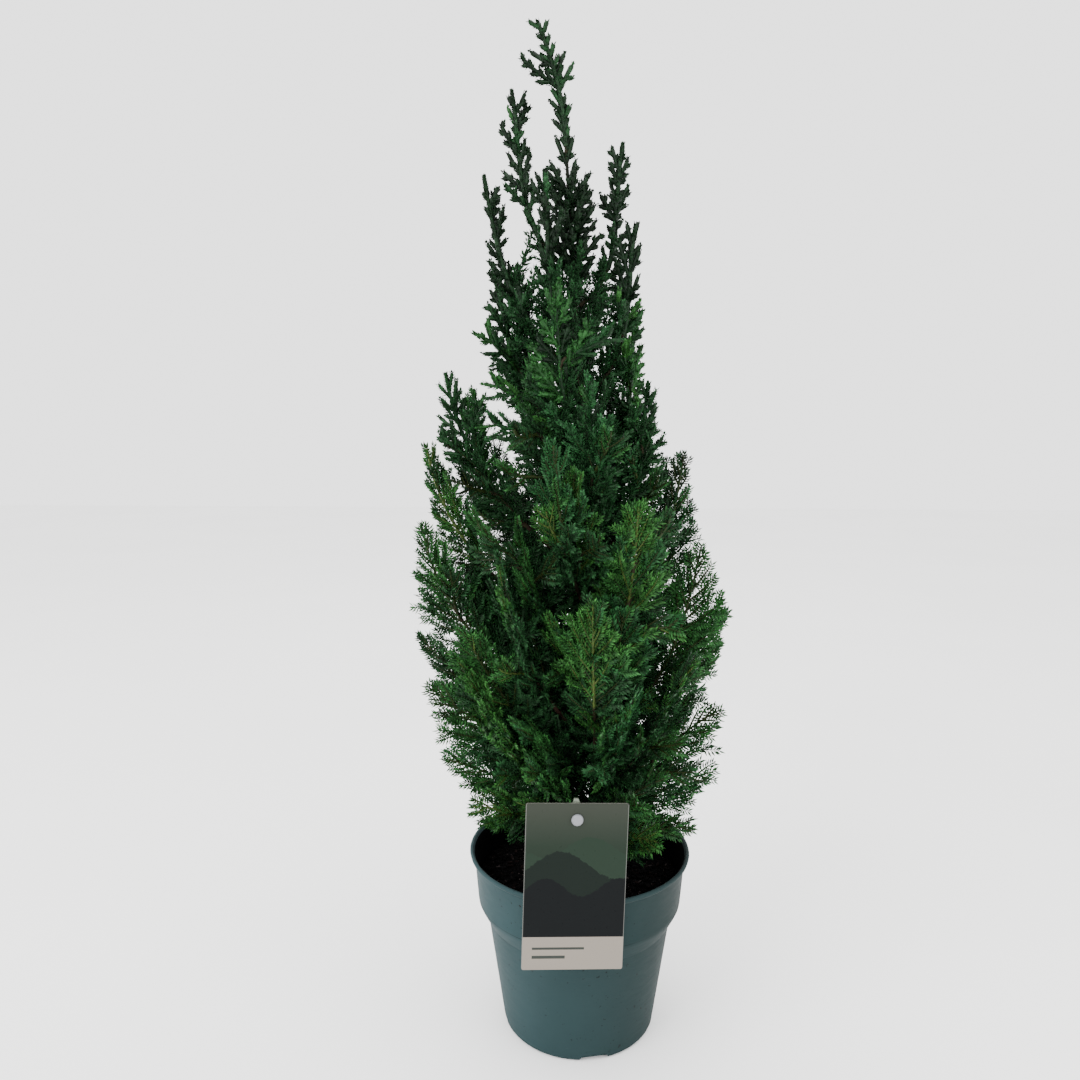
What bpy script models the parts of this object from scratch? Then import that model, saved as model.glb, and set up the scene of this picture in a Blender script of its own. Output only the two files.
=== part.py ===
# A young lawson cypress in a round nursery pot, with a blank picture label on a stake.
# Metres, +Z up. The origin is the middle of the pot's flat underside, and -Y is the front.

import math
import random

import bmesh
import bpy
import numpy as np
from mathutils import Matrix, Vector
from mathutils.bvhtree import BVHTree

# The gap that two touching pieces keep
GAP = 0.0003

# Pot: radii of its outer wall, and the heights where they hold
POT_HEIGHT = 0.1072
LIP_RADIUS = 0.065
LIP_DEPTH = 0.0045
LIP_ROUNDING = 0.0007
LIP_STEP = 0.0010
LIP_WALL = 0.0022
LIP_FLOOR = 0.0020
COLLAR_TOP_RADIUS = 0.0612
COLLAR_FOOT_RADIUS = 0.0584
COLLAR_FOOT_HEIGHT = 0.0715
BODY_TOP_RADIUS = 0.0539
BODY_TOP_HEIGHT = 0.061
BASE_RADIUS = 0.0448
BASE_ROUNDING = 0.0035
POT_WALL = 0.0016
FLOOR_CORNER = 0.0030
WALL_OFFSET = 0.0004
POT_SIDES = 28
NOTCHES = 4
NOTCH_WIDTH = 0.020
NOTCH_HEIGHT = 0.003
NOTCH_DEPTH = 0.0035
NOTCH_OVERRUN = 0.010
FIRST_NOTCH_DEG = -78.0

# Soil: its level at the wall and at the trunk
SOIL_EDGE = 0.0885
SOIL_MIDDLE = 0.0925
SOIL_FLAT_RADIUS = 0.013
SOIL_RINGS = (0.013, 0.028, 0.043)
SOIL_FALL = 1.5

# Trunk: its lean is a drift across, a bow and a sway along its height
TRUNK_FOOT_ACROSS = 0.006
TRUNK_TOP = 0.500
TRUNK_DRIFT = -0.0152
TRUNK_BOW = 0.0087
TRUNK_SWAY = 0.0031
TRUNK_DEPTH_SWAY = 0.002
TRUNK_RADIUS = 0.0042
TRUNK_TIP_RADIUS = 0.0009
FLARE = 0.0028
FLARE_HEIGHT = 0.007
FLARE_LOBES = 5
LOBE_DEPTH = 0.14
LOBE_HEIGHT = 0.010
FLARE_RINGS = (0.0, 0.003, 0.008, 0.018)
UPPER_RINGS = 11
TRUNK_TAPER = 1.2

# Crown: how far the shoots at the left and right edge reach, with the heights of their tips
LEFT_TIPS = (
    (0.534, 0.039), (0.487, 0.053), (0.443, 0.049), (0.383, 0.075), (0.344, 0.089),
    (0.300, 0.090), (0.233, 0.096), (0.206, 0.088), (0.155, 0.082), (0.134, 0.064),
)
RIGHT_TIPS = (
    (0.506, 0.021), (0.462, 0.028), (0.422, 0.030), (0.378, 0.036), (0.340, 0.058),
    (0.289, 0.067), (0.250, 0.084), (0.195, 0.080), (0.150, 0.081), (0.124, 0.066),
)
FRONT_TIPS = (
    (0.485, 0.031), (0.379, 0.046), (0.348, 0.062), (0.291, 0.070), (0.270, 0.074), (0.178, 0.068),
)
FRONT_ACROSS = (-0.020, 0.004, -0.014, -0.042, 0.006, -0.028)
EDGE_DEPTH = 0.010
OUTLINE_SLACK = 0.005
LEADER_TIP = (-0.0247, 0.0, 0.566)
LEADER_TIP_HEADING = (-0.42, 0.0, 1.0)
LEADER_PULLS = (0.40, 0.35)

# Shoots that fill the rest of the crown, on all sides
FILL_TRIES = 130
FILL_LOWEST = 0.132
FILL_HIGHEST = 0.505
FILL_REACH = 0.94
FILL_SPACING = 0.043
BACK_DEPTH = ((0.12, 0.060), (0.18, 0.072), (0.26, 0.076), (0.33, 0.066), (0.40, 0.048), (0.50, 0.026))
MOST_SHOOTS = 44
TOP_ROOT_BELOW_TIP = 0.030
LOWEST_ROOT = 0.010
TURN = math.radians(137.5)

# How a shoot leaves the trunk and rises to its tip
RISE_SHARE = 0.62
RISE_MOST = 0.100
RISE_FOR_REACH = 0.5
USUAL_REACH = 0.050
LEAN_MOST = 0.92
LEAN_LEAST = 0.14
LEVEL_BELOW = 0.120
UPRIGHT_OVER = 0.200
ROOT_SLOPE = math.radians(34)
ROOT_PULL = 0.36
TIP_PULL = 0.40
STEM_CLEARANCE = 0.0042
ROOT_SHIFTS = (0.0, -0.008, 0.008, -0.016, 0.016, -0.024, 0.024, -0.034, 0.034)
PATH_POINTS = 17
HEADING_STEP = 0.004

# Boughs: the bare first part of each long shoot
BOUGH_FROM_LENGTH = 0.120
BOUGH_SHARE = 0.30
MOST_BOUGHS = 11
BOUGH_RADIUS = 0.0017
BOUGH_TIP_RADIUS = 0.0012
BOUGH_SPANS = 4

# Foliage masses: a stem that swells to a slim core in the dense low crown, a spray at its tip
# and sprays to both sides of it
STEM_RADIUS = 0.0012
STEM_TIP_RADIUS = 0.0007
CORE_RADIUS = 0.0062
CORE_ROOM = 0.40
CORE_SHARE_ON_TOP = 0.35
FIRST_SPRAY = 0.012
FIRST_SPRAY_ON_BOUGH = 0.006
SPRAY_STEP = 0.0135
SPRAY_LENGTHS = (0.86, 1.08)
SPRAY_SHARE = 0.46
SPRAY_LONGEST = 0.052
SPRAY_SHORTEST = 0.016
SPRAY_THICKNESS = 0.0007
SPRAY_ANGLE_LOW = math.radians(43)
SPRAY_ANGLE_HIGH = math.radians(27)
SPRAY_ANGLE_SPREAD = math.radians(5)
SPRAY_ROLL = math.radians(28)
EDGE_TWIST = (50, 82)
FILL_TWIST = (15, 55)
SPRAY_TRIES = (1.0, 0.78, 0.58, 0.42)
TIP_SPRAY_SHARE = 0.40
STEM_END = 0.003
RIB_ROOT_SUNK = 0.0012
RIB_ROOT_HALF_WIDTH = 0.0010
RIB_HALF_WIDTH = 0.0032
TOOTH_STEP = 0.0130
TOOTH_SHARE = 0.50
TOOTH_ANGLE = math.radians(38)
TOOTH_TRIES = (1.0, 0.7, 0.5)
FIRST_TOOTH = 0.12
TEETH_SPAN = 0.76
TOOTH_FALL = 0.62
RIB_FALL = 0.55
FLAT_BELOW = 0.30
ROUND_ABOVE = 0.43
SPACE_MARGIN = 0.0008
LIMB_CLEARANCE = 0.0022
NEIGHBOUR_GAP = 0.0004
RIM_CLEARANCE = 0.003
SOIL_CLEARANCE = 0.006
CARD_CLEARANCE = 0.004
STAKE_CLEARANCE = 0.005
SEED = 11

# Label: a hanging card, its stake in the soil and the button that holds it
CARD_WIDTH = 0.0535
CARD_HEIGHT = 0.0915
CARD_THICKNESS = 0.0006
CARD_CORNER = 0.0012
CARD_MIDDLE = (-0.0021, -0.0662, 0.1170)
CARD_TURN = math.radians(1.8)
CARD_TILT = math.radians(-1.2)
CARD_FACING = math.radians(6.4)
HOLE_RADIUS = 0.0022
HOLE_BELOW_TOP = 0.0088
BUTTON_RADIUS = 0.0038
BUTTON_HEIGHT = 0.0021
PEG_RADIUS = 0.0015
STAKE_WIDTH = 0.0042
STAKE_THICKNESS = 0.0012
STAKE_FOOT = (0.0006, -0.0535, 0.074)
STAKE_STANDOFF = 0.0022
STAKE_ABOVE_HOLE = 0.0125
STAKE_POINT = 0.008
STAKE_CHAMFER = 0.003
SLOT_GAP = 0.0004
SLOT_HEIGHT = 0.060

COLOURS = {
    "pot": ((0.075, 0.135, 0.145), 0.45),
    "soil": ((0.020, 0.012, 0.008), 0.95),
    "trunk": ((0.11, 0.045, 0.022), 0.85),
    "bough": ((0.13, 0.060, 0.026), 0.80),
    "foliage": ((0.012, 0.060, 0.018), 0.60),
    "label_card": ((0.30, 0.38, 0.28), 0.30),
    "label_stake": ((0.50, 0.56, 0.50), 0.35),
}


def clear_scene():
    for item in list(bpy.data.objects):
        bpy.data.objects.remove(item, do_unlink=True)


def new_collection(name):
    collection = bpy.data.collections.new(name)
    bpy.context.scene.collection.children.link(collection)
    return collection


def material(name):
    colour, roughness = COLOURS[name]
    made = bpy.data.materials.get(name) or bpy.data.materials.new(name)
    made.use_nodes = True
    shader = made.node_tree.nodes["Principled BSDF"]
    shader.inputs["Base Color"].default_value = (*colour, 1.0)
    shader.inputs["Roughness"].default_value = roughness
    shader.inputs["Metallic"].default_value = 0.0
    return made


def as_object(mesh, name, collection, look=None):
    made = bpy.data.objects.new(name, mesh)
    collection.objects.link(made)
    if look:
        mesh.materials.clear()
        mesh.materials.append(material(look))
    return made


def evaluated_mesh(source):
    """The mesh of an object with its modifiers, or of a curve with its bevel, caps welded."""
    graph = bpy.context.evaluated_depsgraph_get()
    mesh = bpy.data.meshes.new_from_object(source.evaluated_get(graph))
    work = bmesh.new()
    work.from_mesh(mesh)
    bmesh.ops.remove_doubles(work, verts=work.verts, dist=1e-6)
    bmesh.ops.recalc_face_normals(work, faces=work.faces)
    work.to_mesh(mesh)
    work.free()
    return mesh


def meshed(source, name, collection, look):
    """Replaces a curve or a modified object by a plain mesh object in the same place."""
    mesh = evaluated_mesh(source)
    made = as_object(mesh, name, collection, look)
    made.matrix_world = source.matrix_world.copy()
    bpy.data.objects.remove(source, do_unlink=True)
    return made


def smooth_shading(piece, angle_deg=40):
    piece.data.shade_smooth()
    piece.data.set_sharp_from_angle(angle=math.radians(angle_deg))


def turned(name, profile, collection, look, sides):
    """A profile of (radius, height) points, turned round the Z axis."""
    mesh = bpy.data.meshes.new(name)
    points = [(radius, 0.0, height) for radius, height in profile]
    edges = [(i, i + 1) for i in range(len(points) - 1)]
    mesh.from_pydata(points, edges, [])
    spun = as_object(mesh, name + "_profile", collection)
    screw = spun.modifiers.new("turn", "SCREW")
    screw.axis = "Z"
    screw.steps = sides
    screw.render_steps = sides
    screw.use_merge_vertices = True
    screw.merge_threshold = 0.00001
    bpy.context.view_layer.update()
    return meshed(spun, name, collection, look)


def tube(name, points, radii, collection, look, sides=8, section=None):
    """A tapering tube along points, round or with the section of a given closed curve."""
    path = bpy.data.curves.new(name, "CURVE")
    path.dimensions = "3D"
    path.use_fill_caps = True
    spline = path.splines.new("POLY")
    spline.points.add(len(points) - 1)
    for point, place, radius in zip(spline.points, points, radii):
        point.co = (*place, 1.0)
        point.radius = radius
    if section:
        path.bevel_mode = "OBJECT"
        path.bevel_object = section
    else:
        path.bevel_depth = 1.0
        path.bevel_resolution = (sides - 4) // 2
    made = as_object(path, name + "_path", collection)
    bpy.context.view_layer.update()
    return meshed(made, name, collection, look)


def flat_outline(name, outlines, thickness, collection):
    """A flat plate from closed outlines of (x, y) points, the first outside and the rest its holes."""
    shape = bpy.data.curves.new(name, "CURVE")
    shape.dimensions = "2D"
    shape.fill_mode = "BOTH"
    shape.extrude = thickness / 2
    for outline in outlines:
        spline = shape.splines.new("POLY")
        spline.points.add(len(outline) - 1)
        for point, (x, y) in zip(spline.points, outline):
            point.co = (x, y, 0.0, 1.0)
        spline.use_cyclic_u = True
    return as_object(shape, name, collection)


def boolean(target, other, operation, solver="EXACT"):
    """Joins or cuts target with an object or with all of a collection, and applies it."""
    modifier = target.modifiers.new(operation.lower(), "BOOLEAN")
    modifier.operation = operation
    modifier.solver = solver
    if isinstance(other, bpy.types.Collection):
        modifier.operand_type = "COLLECTION"
        modifier.collection = other
    else:
        modifier.object = other
    bpy.context.view_layer.update()
    graph = bpy.context.evaluated_depsgraph_get()
    result = bpy.data.meshes.new_from_object(target.evaluated_get(graph))
    target.modifiers.clear()
    target.data = result


# Pot and soil


def pot_outside():
    """The outer wall from the lip's top down to the rounded foot."""
    arc = [math.radians(a) for a in (0, 45, 90)]
    foot = [
        (
            BASE_RADIUS - BASE_ROUNDING * (1 - math.cos(a)),
            BASE_ROUNDING * (1 - math.sin(a)),
        )
        for a in arc
    ]
    return [
        (LIP_RADIUS - LIP_ROUNDING, POT_HEIGHT),
        (LIP_RADIUS, POT_HEIGHT - LIP_ROUNDING),
        (LIP_RADIUS - LIP_ROUNDING, POT_HEIGHT - LIP_DEPTH),
        (COLLAR_TOP_RADIUS, POT_HEIGHT - LIP_DEPTH - LIP_STEP),
        (COLLAR_FOOT_RADIUS, COLLAR_FOOT_HEIGHT),
        (BODY_TOP_RADIUS, BODY_TOP_HEIGHT),
    ] + foot


def pot_inside():
    """The inner wall from the floor up to the lip's top."""
    return [
        (BASE_RADIUS - POT_WALL - FLOOR_CORNER, POT_WALL),
        (BASE_RADIUS - POT_WALL, POT_WALL + FLOOR_CORNER),
        (BODY_TOP_RADIUS - POT_WALL, BODY_TOP_HEIGHT + WALL_OFFSET),
        (COLLAR_FOOT_RADIUS - POT_WALL, COLLAR_FOOT_HEIGHT + WALL_OFFSET),
        (COLLAR_TOP_RADIUS - POT_WALL, POT_HEIGHT - LIP_DEPTH - LIP_STEP),
        (LIP_RADIUS - LIP_WALL, POT_HEIGHT - LIP_DEPTH + LIP_FLOOR),
        (LIP_RADIUS - LIP_WALL, POT_HEIGHT),
    ]


def box_cutter(name, size, place, cutters):
    """A hidden box of a size round its middle, put in a place, for a cut."""
    bpy.ops.mesh.primitive_cube_add(size=1.0)
    cutter = bpy.context.object
    cutter.name = name
    cutter.data.transform(place @ Matrix.Diagonal((*size, 1.0)))
    for owner in list(cutter.users_collection):
        owner.objects.unlink(cutter)
    cutters.objects.link(cutter)
    cutter.hide_render = True
    cutter.display_type = "WIRE"
    return cutter


def make_pot(parts, cutters):
    profile = [(0.0, POT_WALL)] + pot_inside() + pot_outside() + [(0.0, 0.0)]
    pot = turned("pot", profile, parts, "pot", POT_SIDES)
    for i in range(NOTCHES):
        turn = math.radians(FIRST_NOTCH_DEG + 360 * i / NOTCHES)
        outer = BASE_RADIUS + NOTCH_OVERRUN
        inner = BASE_RADIUS - NOTCH_DEPTH
        place = Matrix.Rotation(turn, 4, "Z") @ Matrix.Translation(((outer + inner) / 2, 0.0, 0.0))
        size = (outer - inner, NOTCH_WIDTH, 2 * NOTCH_HEIGHT)
        cutter = box_cutter(f"notch_cutter_{i + 1}", size, place, cutters)
        boolean(pot, cutter, "DIFFERENCE")
    smooth_shading(pot)
    return pot


def inner_radius(height):
    heights = [h for _, h in pot_inside()]
    radii = [r for r, _ in pot_inside()]
    return float(np.interp(height, heights, radii))


def soil_level(radius):
    """The soil is a low mound, flat where the trunk stands."""
    edge = inner_radius(SOIL_EDGE)
    share = min(1.0, max(0.0, (radius - SOIL_FLAT_RADIUS) / (edge - SOIL_FLAT_RADIUS)))
    return SOIL_MIDDLE + (SOIL_EDGE - SOIL_MIDDLE) * share**SOIL_FALL


def make_soil(parts, cutters, slot_place):
    edge = inner_radius(SOIL_EDGE) - GAP
    top = [(r, soil_level(r)) for r in SOIL_RINGS]
    wall = [(radius - 1.4 * GAP, height + GAP) for radius, height in reversed(pot_inside()[:4])]
    profile = [(0.0, SOIL_MIDDLE)] + top + [(edge, SOIL_EDGE)] + wall + [(0.0, POT_WALL + GAP)]
    soil = turned("soil", profile, parts, "soil", POT_SIDES)
    size = (STAKE_WIDTH + 2 * SLOT_GAP, STAKE_THICKNESS + 2 * SLOT_GAP, SLOT_HEIGHT)
    place = slot_place @ Matrix.Translation((0.0, 0.0, SLOT_HEIGHT / 2 - SLOT_GAP))
    boolean(soil, box_cutter("stake_slot_cutter", size, place, cutters), "DIFFERENCE")
    return soil


# Trunk


def trunk_foot():
    return SOIL_MIDDLE + GAP


def trunk_place(height):
    """The middle of the trunk at a height."""
    share = (height - trunk_foot()) / (TRUNK_TOP - trunk_foot())
    across = TRUNK_FOOT_ACROSS + TRUNK_DRIFT * share
    across += TRUNK_BOW * math.sin(math.pi * share) + TRUNK_SWAY * math.sin(2 * math.pi * share)
    depth = TRUNK_DEPTH_SWAY * math.sin(2 * math.pi * share)
    return Vector((across, depth, height))


def trunk_radius(height):
    share = (height - trunk_foot()) / (TRUNK_TOP - trunk_foot())
    taper = (TRUNK_RADIUS - TRUNK_TIP_RADIUS) * max(0.0, 1 - share) ** TRUNK_TAPER
    flare = FLARE * math.exp(-(height - trunk_foot()) / FLARE_HEIGHT)
    return TRUNK_TIP_RADIUS + taper + flare


def make_trunk(parts):
    foot = trunk_foot()
    low = [foot + above for above in FLARE_RINGS]
    high = [low[-1] + (TRUNK_TOP - low[-1]) * i / UPPER_RINGS for i in range(1, UPPER_RINGS + 1)]
    heights = low + high
    points = [trunk_place(h) for h in heights]
    radii = [trunk_radius(h) for h in heights]
    trunk = tube("trunk", points, radii, parts, "trunk", sides=8)
    centre = trunk_place(foot)
    for vertex in trunk.data.vertices:
        above = vertex.co.z - foot
        if above < LOBE_HEIGHT:
            offset = Vector((vertex.co.x - centre.x, vertex.co.y - centre.y, 0.0))
            wave = math.sin(FLARE_LOBES * math.atan2(offset.y, offset.x))
            lobe = 1 + LOBE_DEPTH * wave * (1 - above / LOBE_HEIGHT)
            vertex.co.x = centre.x + offset.x * lobe
            vertex.co.y = centre.y + offset.y * lobe
        if above < FLARE_RINGS[1] / 2:
            vertex.co.z = foot
    smooth_shading(trunk)
    return trunk


# Shoots: where they start, how they rise and which space is theirs


def bezier(p0, p1, p2, p3, share):
    rest = 1 - share
    return p0 * rest**3 + p1 * 3 * rest**2 * share + p2 * 3 * rest * share**2 + p3 * share**3


def lean_of(height):
    """How far a shoot's tip leans outwards, from upright 0 to level 1: the low shoots spread."""
    return min(LEAN_MOST, max(LEAN_LEAST, 1 - (height - LEVEL_BELOW) / UPRIGHT_OVER))


def root_height(tip):
    reach = math.hypot(tip.x, tip.y)
    above = tip.z - SOIL_MIDDLE
    rise = min(RISE_SHARE * above, RISE_MOST + RISE_FOR_REACH * (reach - USUAL_REACH))
    return tip.z - rise


def shoot_path(tip, start_height):
    """Points from the trunk's bark out to the tip: first outwards, then up."""
    middle = trunk_place(start_height)
    out = Vector((tip.x - middle.x, tip.y - middle.y, 0.0)).normalized()
    away = trunk_radius(start_height) + NEIGHBOUR_GAP + BOUGH_RADIUS * math.sin(ROOT_SLOPE)
    root = middle + out * away
    span = (tip - root).length
    leave = (out * math.cos(ROOT_SLOPE) + Vector((0, 0, math.sin(ROOT_SLOPE)))).normalized()
    lean = lean_of(tip.z)
    arrive = (out * lean + Vector((0, 0, 1.0 - lean))).normalized()
    first = root + leave * ROOT_PULL * span
    second = tip - arrive * TIP_PULL * span
    return [bezier(root, first, second, tip, i / (PATH_POINTS - 1)) for i in range(PATH_POINTS)]


def leader_path():
    start = trunk_place(TRUNK_TOP) + Vector((0, 0, GAP))
    tip = Vector(LEADER_TIP)
    span = (tip - start).length
    leave = (trunk_place(TRUNK_TOP) - trunk_place(TRUNK_TOP - 0.01)).normalized()
    first = start + leave * span * LEADER_PULLS[0]
    second = tip - Vector(LEADER_TIP_HEADING).normalized() * span * LEADER_PULLS[1]
    return [bezier(start, first, second, tip, i / (PATH_POINTS - 1)) for i in range(PATH_POINTS)]


def closest(path, others):
    """The least distance between the points of one path and those of others."""
    mine = np.array(path)[:, None, :]
    return min(float(np.linalg.norm(mine - np.array(other), axis=2).min()) for other in others)


def crown_reach(tip_height, turn):
    """How far the crown reaches at a height, in the direction of a turn from +X."""
    edge = LEFT_TIPS if math.cos(turn) < 0 else RIGHT_TIPS
    side = np.interp(tip_height, [h for h, _ in reversed(edge)], [r for _, r in reversed(edge)])
    deep = np.interp(tip_height, [h for h, _ in BACK_DEPTH], [r for _, r in BACK_DEPTH])
    return 1 / math.hypot(math.cos(turn) / side, math.sin(turn) / deep)


def named_tips():
    """(name, tip) of the shoots that make the crown's outline as seen from the front."""
    rows = []
    for side, sign, tips in (("left", -1, LEFT_TIPS), ("right", 1, RIGHT_TIPS)):
        for i, (height, reach) in enumerate(tips):
            depth = EDGE_DEPTH * (-1 if i % 2 else 1) * min(1.0, 0.100 / height + 0.4)
            rows.append((f"foliage_{side}_{i + 1}", Vector((sign * reach, depth, height))))
    for i, ((height, reach), across) in enumerate(zip(FRONT_TIPS, FRONT_ACROSS)):
        depth = -math.sqrt(reach**2 - across**2)
        rows.append((f"foliage_front_{i + 1}", Vector((across, depth, height))))
    return rows


def add_fill(rows):
    """Shoots at even spacing on the sides where the named ones leave room."""
    count = 0
    for i in range(FILL_TRIES):
        height = FILL_HIGHEST + (FILL_LOWEST - FILL_HIGHEST) * i / (FILL_TRIES - 1)
        turn = i * TURN
        reach = FILL_REACH * crown_reach(height, turn)
        tip = Vector((reach * math.cos(turn), reach * math.sin(turn), height))
        apart = all((tip - other).length > FILL_SPACING for _, other in rows)
        if apart and len(rows) < MOST_SHOOTS - 1:
            count += 1
            rows.append((f"foliage_fill_{count}", tip))
    return rows


def path_run(points):
    """The distance along a path from its first point to each of its points."""
    return np.concatenate([[0.0], np.cumsum(np.linalg.norm(np.diff(points, axis=0), axis=1))])


def seat_root(path, radius, bark):
    """Moves a path's first point so that a limb of that radius starts just clear of the bark."""
    middle = trunk_place(path[0].z)
    out = Vector((path[0].x - middle.x, path[0].y - middle.y, 0.0)).normalized()
    hit = bark.ray_cast(middle + out * USUAL_REACH, -out)[0]
    path[0] = hit + out * (GAP + radius * math.sin(ROOT_SLOPE))


def plan_shoots(bark):
    """Every shoot as a dictionary: its name, its path and how much of it is a bough."""
    shoots = [{"name": "foliage_leader", "path": leader_path(), "leader": True, "edge": True}]
    for name, tip in add_fill(named_tips()):
        best, best_clear = None, -1.0
        for shift in ROOT_SHIFTS:
            start = max(trunk_foot() + LOWEST_ROOT, root_height(tip) + shift)
            path = shoot_path(tip, min(TRUNK_TOP - TOP_ROOT_BELOW_TIP, start))
            clear = closest(path, [s["path"] for s in shoots])
            if clear > best_clear:
                best, best_clear = path, clear
            if clear > STEM_CLEARANCE:
                break
        edge = "left" in name or "right" in name
        shoots.append({"name": name, "path": best, "leader": False, "edge": edge})
    lengths = [0.0] + [path_run(np.array(shoot["path"]))[-1] for shoot in shoots[1:]]
    bough_length = max(BOUGH_FROM_LENGTH, sorted(lengths)[-MOST_BOUGHS])
    for index, shoot in enumerate(shoots):
        carried = lengths[index] >= bough_length
        if not shoot["leader"]:
            seat_root(shoot["path"], BOUGH_RADIUS if carried else STEM_RADIUS, bark)
        shoot["index"] = index
        shoot["points"] = np.array(shoot["path"])
        shoot["run"] = path_run(shoot["points"])
        shoot["length"] = float(shoot["run"][-1])
        shoot["bough"] = BOUGH_SHARE * shoot["length"] if carried else 0.0
    return shoots


def place_on(shoot, distance):
    """The place on a shoot at a distance from its root."""
    return Vector([np.interp(distance, shoot["run"], shoot["points"][:, k]) for k in range(3)])


def along(shoot, distance):
    """The place and the direction of a shoot at a distance from its root."""
    before = place_on(shoot, distance - HEADING_STEP)
    after = place_on(shoot, distance + HEADING_STEP)
    return place_on(shoot, distance), (after - before).normalized()


def flatness(height):
    """Low shoots are flat plumes, and the top ones have twigs all round."""
    return 1 - min(1.0, max(0.0, (height - FLAT_BELOW) / (ROUND_ABOVE - FLAT_BELOW)))


def envelope(share):
    """The length of the sprays along a plume: short at its foot, longest low down, short at its tip."""
    return min(0.62 + 1.2 * share, 1.0, 0.30 + 1.20 * (1 - share))


def sprays(shoot, step):
    """The seeded rule: (distance, start, direction, flat side, length) of each spray from foot to tip."""
    draw = random.Random(SEED + shoot["index"])
    first = shoot["bough"] + FIRST_SPRAY_ON_BOUGH if shoot["bough"] else FIRST_SPRAY
    span = shoot["length"] - first
    longest = min(SPRAY_LONGEST, max(SPRAY_SHORTEST, SPRAY_SHARE * shoot["length"]))
    tip = shoot["path"][-1]
    outward = Vector((tip.x, tip.y, 0.0)).normalized()
    least, most = EDGE_TWIST if shoot["edge"] else FILL_TWIST
    twist = math.radians(draw.uniform(least, most)) * draw.choice((-1, 1))
    facing = Matrix.Rotation(twist, 3, "Z") @ outward
    flat = flatness(tip.z)
    side = 1 if draw.random() < 0.5 else -1
    at = first
    while at < shoot["length"] - SPRAY_SHORTEST:
        share = (at - first) / span
        place, ahead = along(shoot, at)
        normal = (facing - ahead * facing.dot(ahead)).normalized()
        beside = ahead.cross(normal)
        angle = SPRAY_ANGLE_LOW + (SPRAY_ANGLE_HIGH - SPRAY_ANGLE_LOW) * share
        angle += draw.uniform(-1, 1) * SPRAY_ANGLE_SPREAD
        around = (1 - 0.75 * flat) * draw.uniform(-1.2, 1.2) + 0.25 * flat * draw.uniform(-1, 1)
        spread = beside * side * math.cos(around) + normal * math.sin(around)
        direction = (ahead * math.cos(angle) + spread * math.sin(angle)).normalized()
        size = longest * envelope(share) * draw.uniform(*SPRAY_LENGTHS)
        roll = draw.uniform(-1, 1) * SPRAY_ROLL
        level = (normal - direction * normal.dot(direction)).normalized()
        yield at, place, direction, Matrix.Rotation(roll, 3, direction) @ level, size
        side = -side
        at += step * draw.uniform(0.85, 1.15)


def in_own_space(points, index, stems):
    """Whether all points are nearer to their own stem than to any other."""
    gaps = np.linalg.norm(points[:, None, None, :] - stems[None, :, :, :], axis=3).min(axis=2)
    own = gaps[:, index].copy()
    gaps[:, index] = 1.0
    return bool((gaps.min(axis=1) - own > SPACE_MARGIN).all())


def clear_of_limbs(points):
    """Whether all points stay off the trunk, the pot, the soil, the card and its stake."""
    for x, y, z in points:
        height = min(TRUNK_TOP, max(trunk_foot(), z))
        middle = trunk_place(height)
        off = math.sqrt((x - middle.x) ** 2 + (y - middle.y) ** 2 + (z - height) ** 2)
        if off < trunk_radius(height) + LIMB_CLEARANCE:
            return False
        if z < POT_HEIGHT + RIM_CLEARANCE and math.hypot(x, y) > inner_radius(z) - RIM_CLEARANCE:
            return False
        if z < soil_level(math.hypot(x, y)) + SOIL_CLEARANCE:
            return False
        if near_label(x, y, z):
            return False
    return True


def near_label(x, y, z):
    low = z < CARD_MIDDLE[2] + CARD_HEIGHT / 2 + STAKE_ABOVE_HOLE
    at_card = abs(x - CARD_MIDDLE[0]) < CARD_WIDTH / 2 + CARD_CLEARANCE
    at_stake = abs(x - STAKE_FOOT[0]) < STAKE_WIDTH / 2 + STAKE_CLEARANCE
    before_card = at_card and y < CARD_MIDDLE[1] + CARD_CLEARANCE
    return low and (before_card or (at_stake and y < STAKE_FOOT[1] + CARD_CLEARANCE))


# Boughs and foliage


def make_bough(shoot, number, parts):
    shares = [i / BOUGH_SPANS for i in range(BOUGH_SPANS + 1)]
    points = [place_on(shoot, shoot["bough"] * share) for share in shares]
    radii = [BOUGH_RADIUS + (BOUGH_TIP_RADIUS - BOUGH_RADIUS) * share for share in shares]
    bough = tube(f"bough_{number}", points, radii, parts, "bough", sides=6)
    smooth_shading(bough)
    return bough


def stem_section(collection):
    """A closed square of radius 1, the section of every foliage stem."""
    corners = [(math.cos(a), math.sin(a)) for a in (k * math.pi / 2 for k in range(4))]
    section = flat_outline("stem_section", [corners], 0.0, collection)
    section.data.fill_mode = "NONE"
    section.hide_render = True
    section.display_type = "WIRE"
    return section


def room_round(place, index, stems):
    """The distance from a place to the nearest other stem, to the trunk's bark and to the pot's rim."""
    others = np.delete(stems, index, axis=0)
    to_stems = float(np.linalg.norm(others - np.array(place), axis=2).min())
    middle = trunk_place(min(TRUNK_TOP, place.z))
    to_trunk = (place - middle).length - trunk_radius(min(TRUNK_TOP, place.z))
    to_rim = place.z - POT_HEIGHT - RIM_CLEARANCE
    return min(to_stems, 2 * to_trunk, 2 * to_rim)


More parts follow.
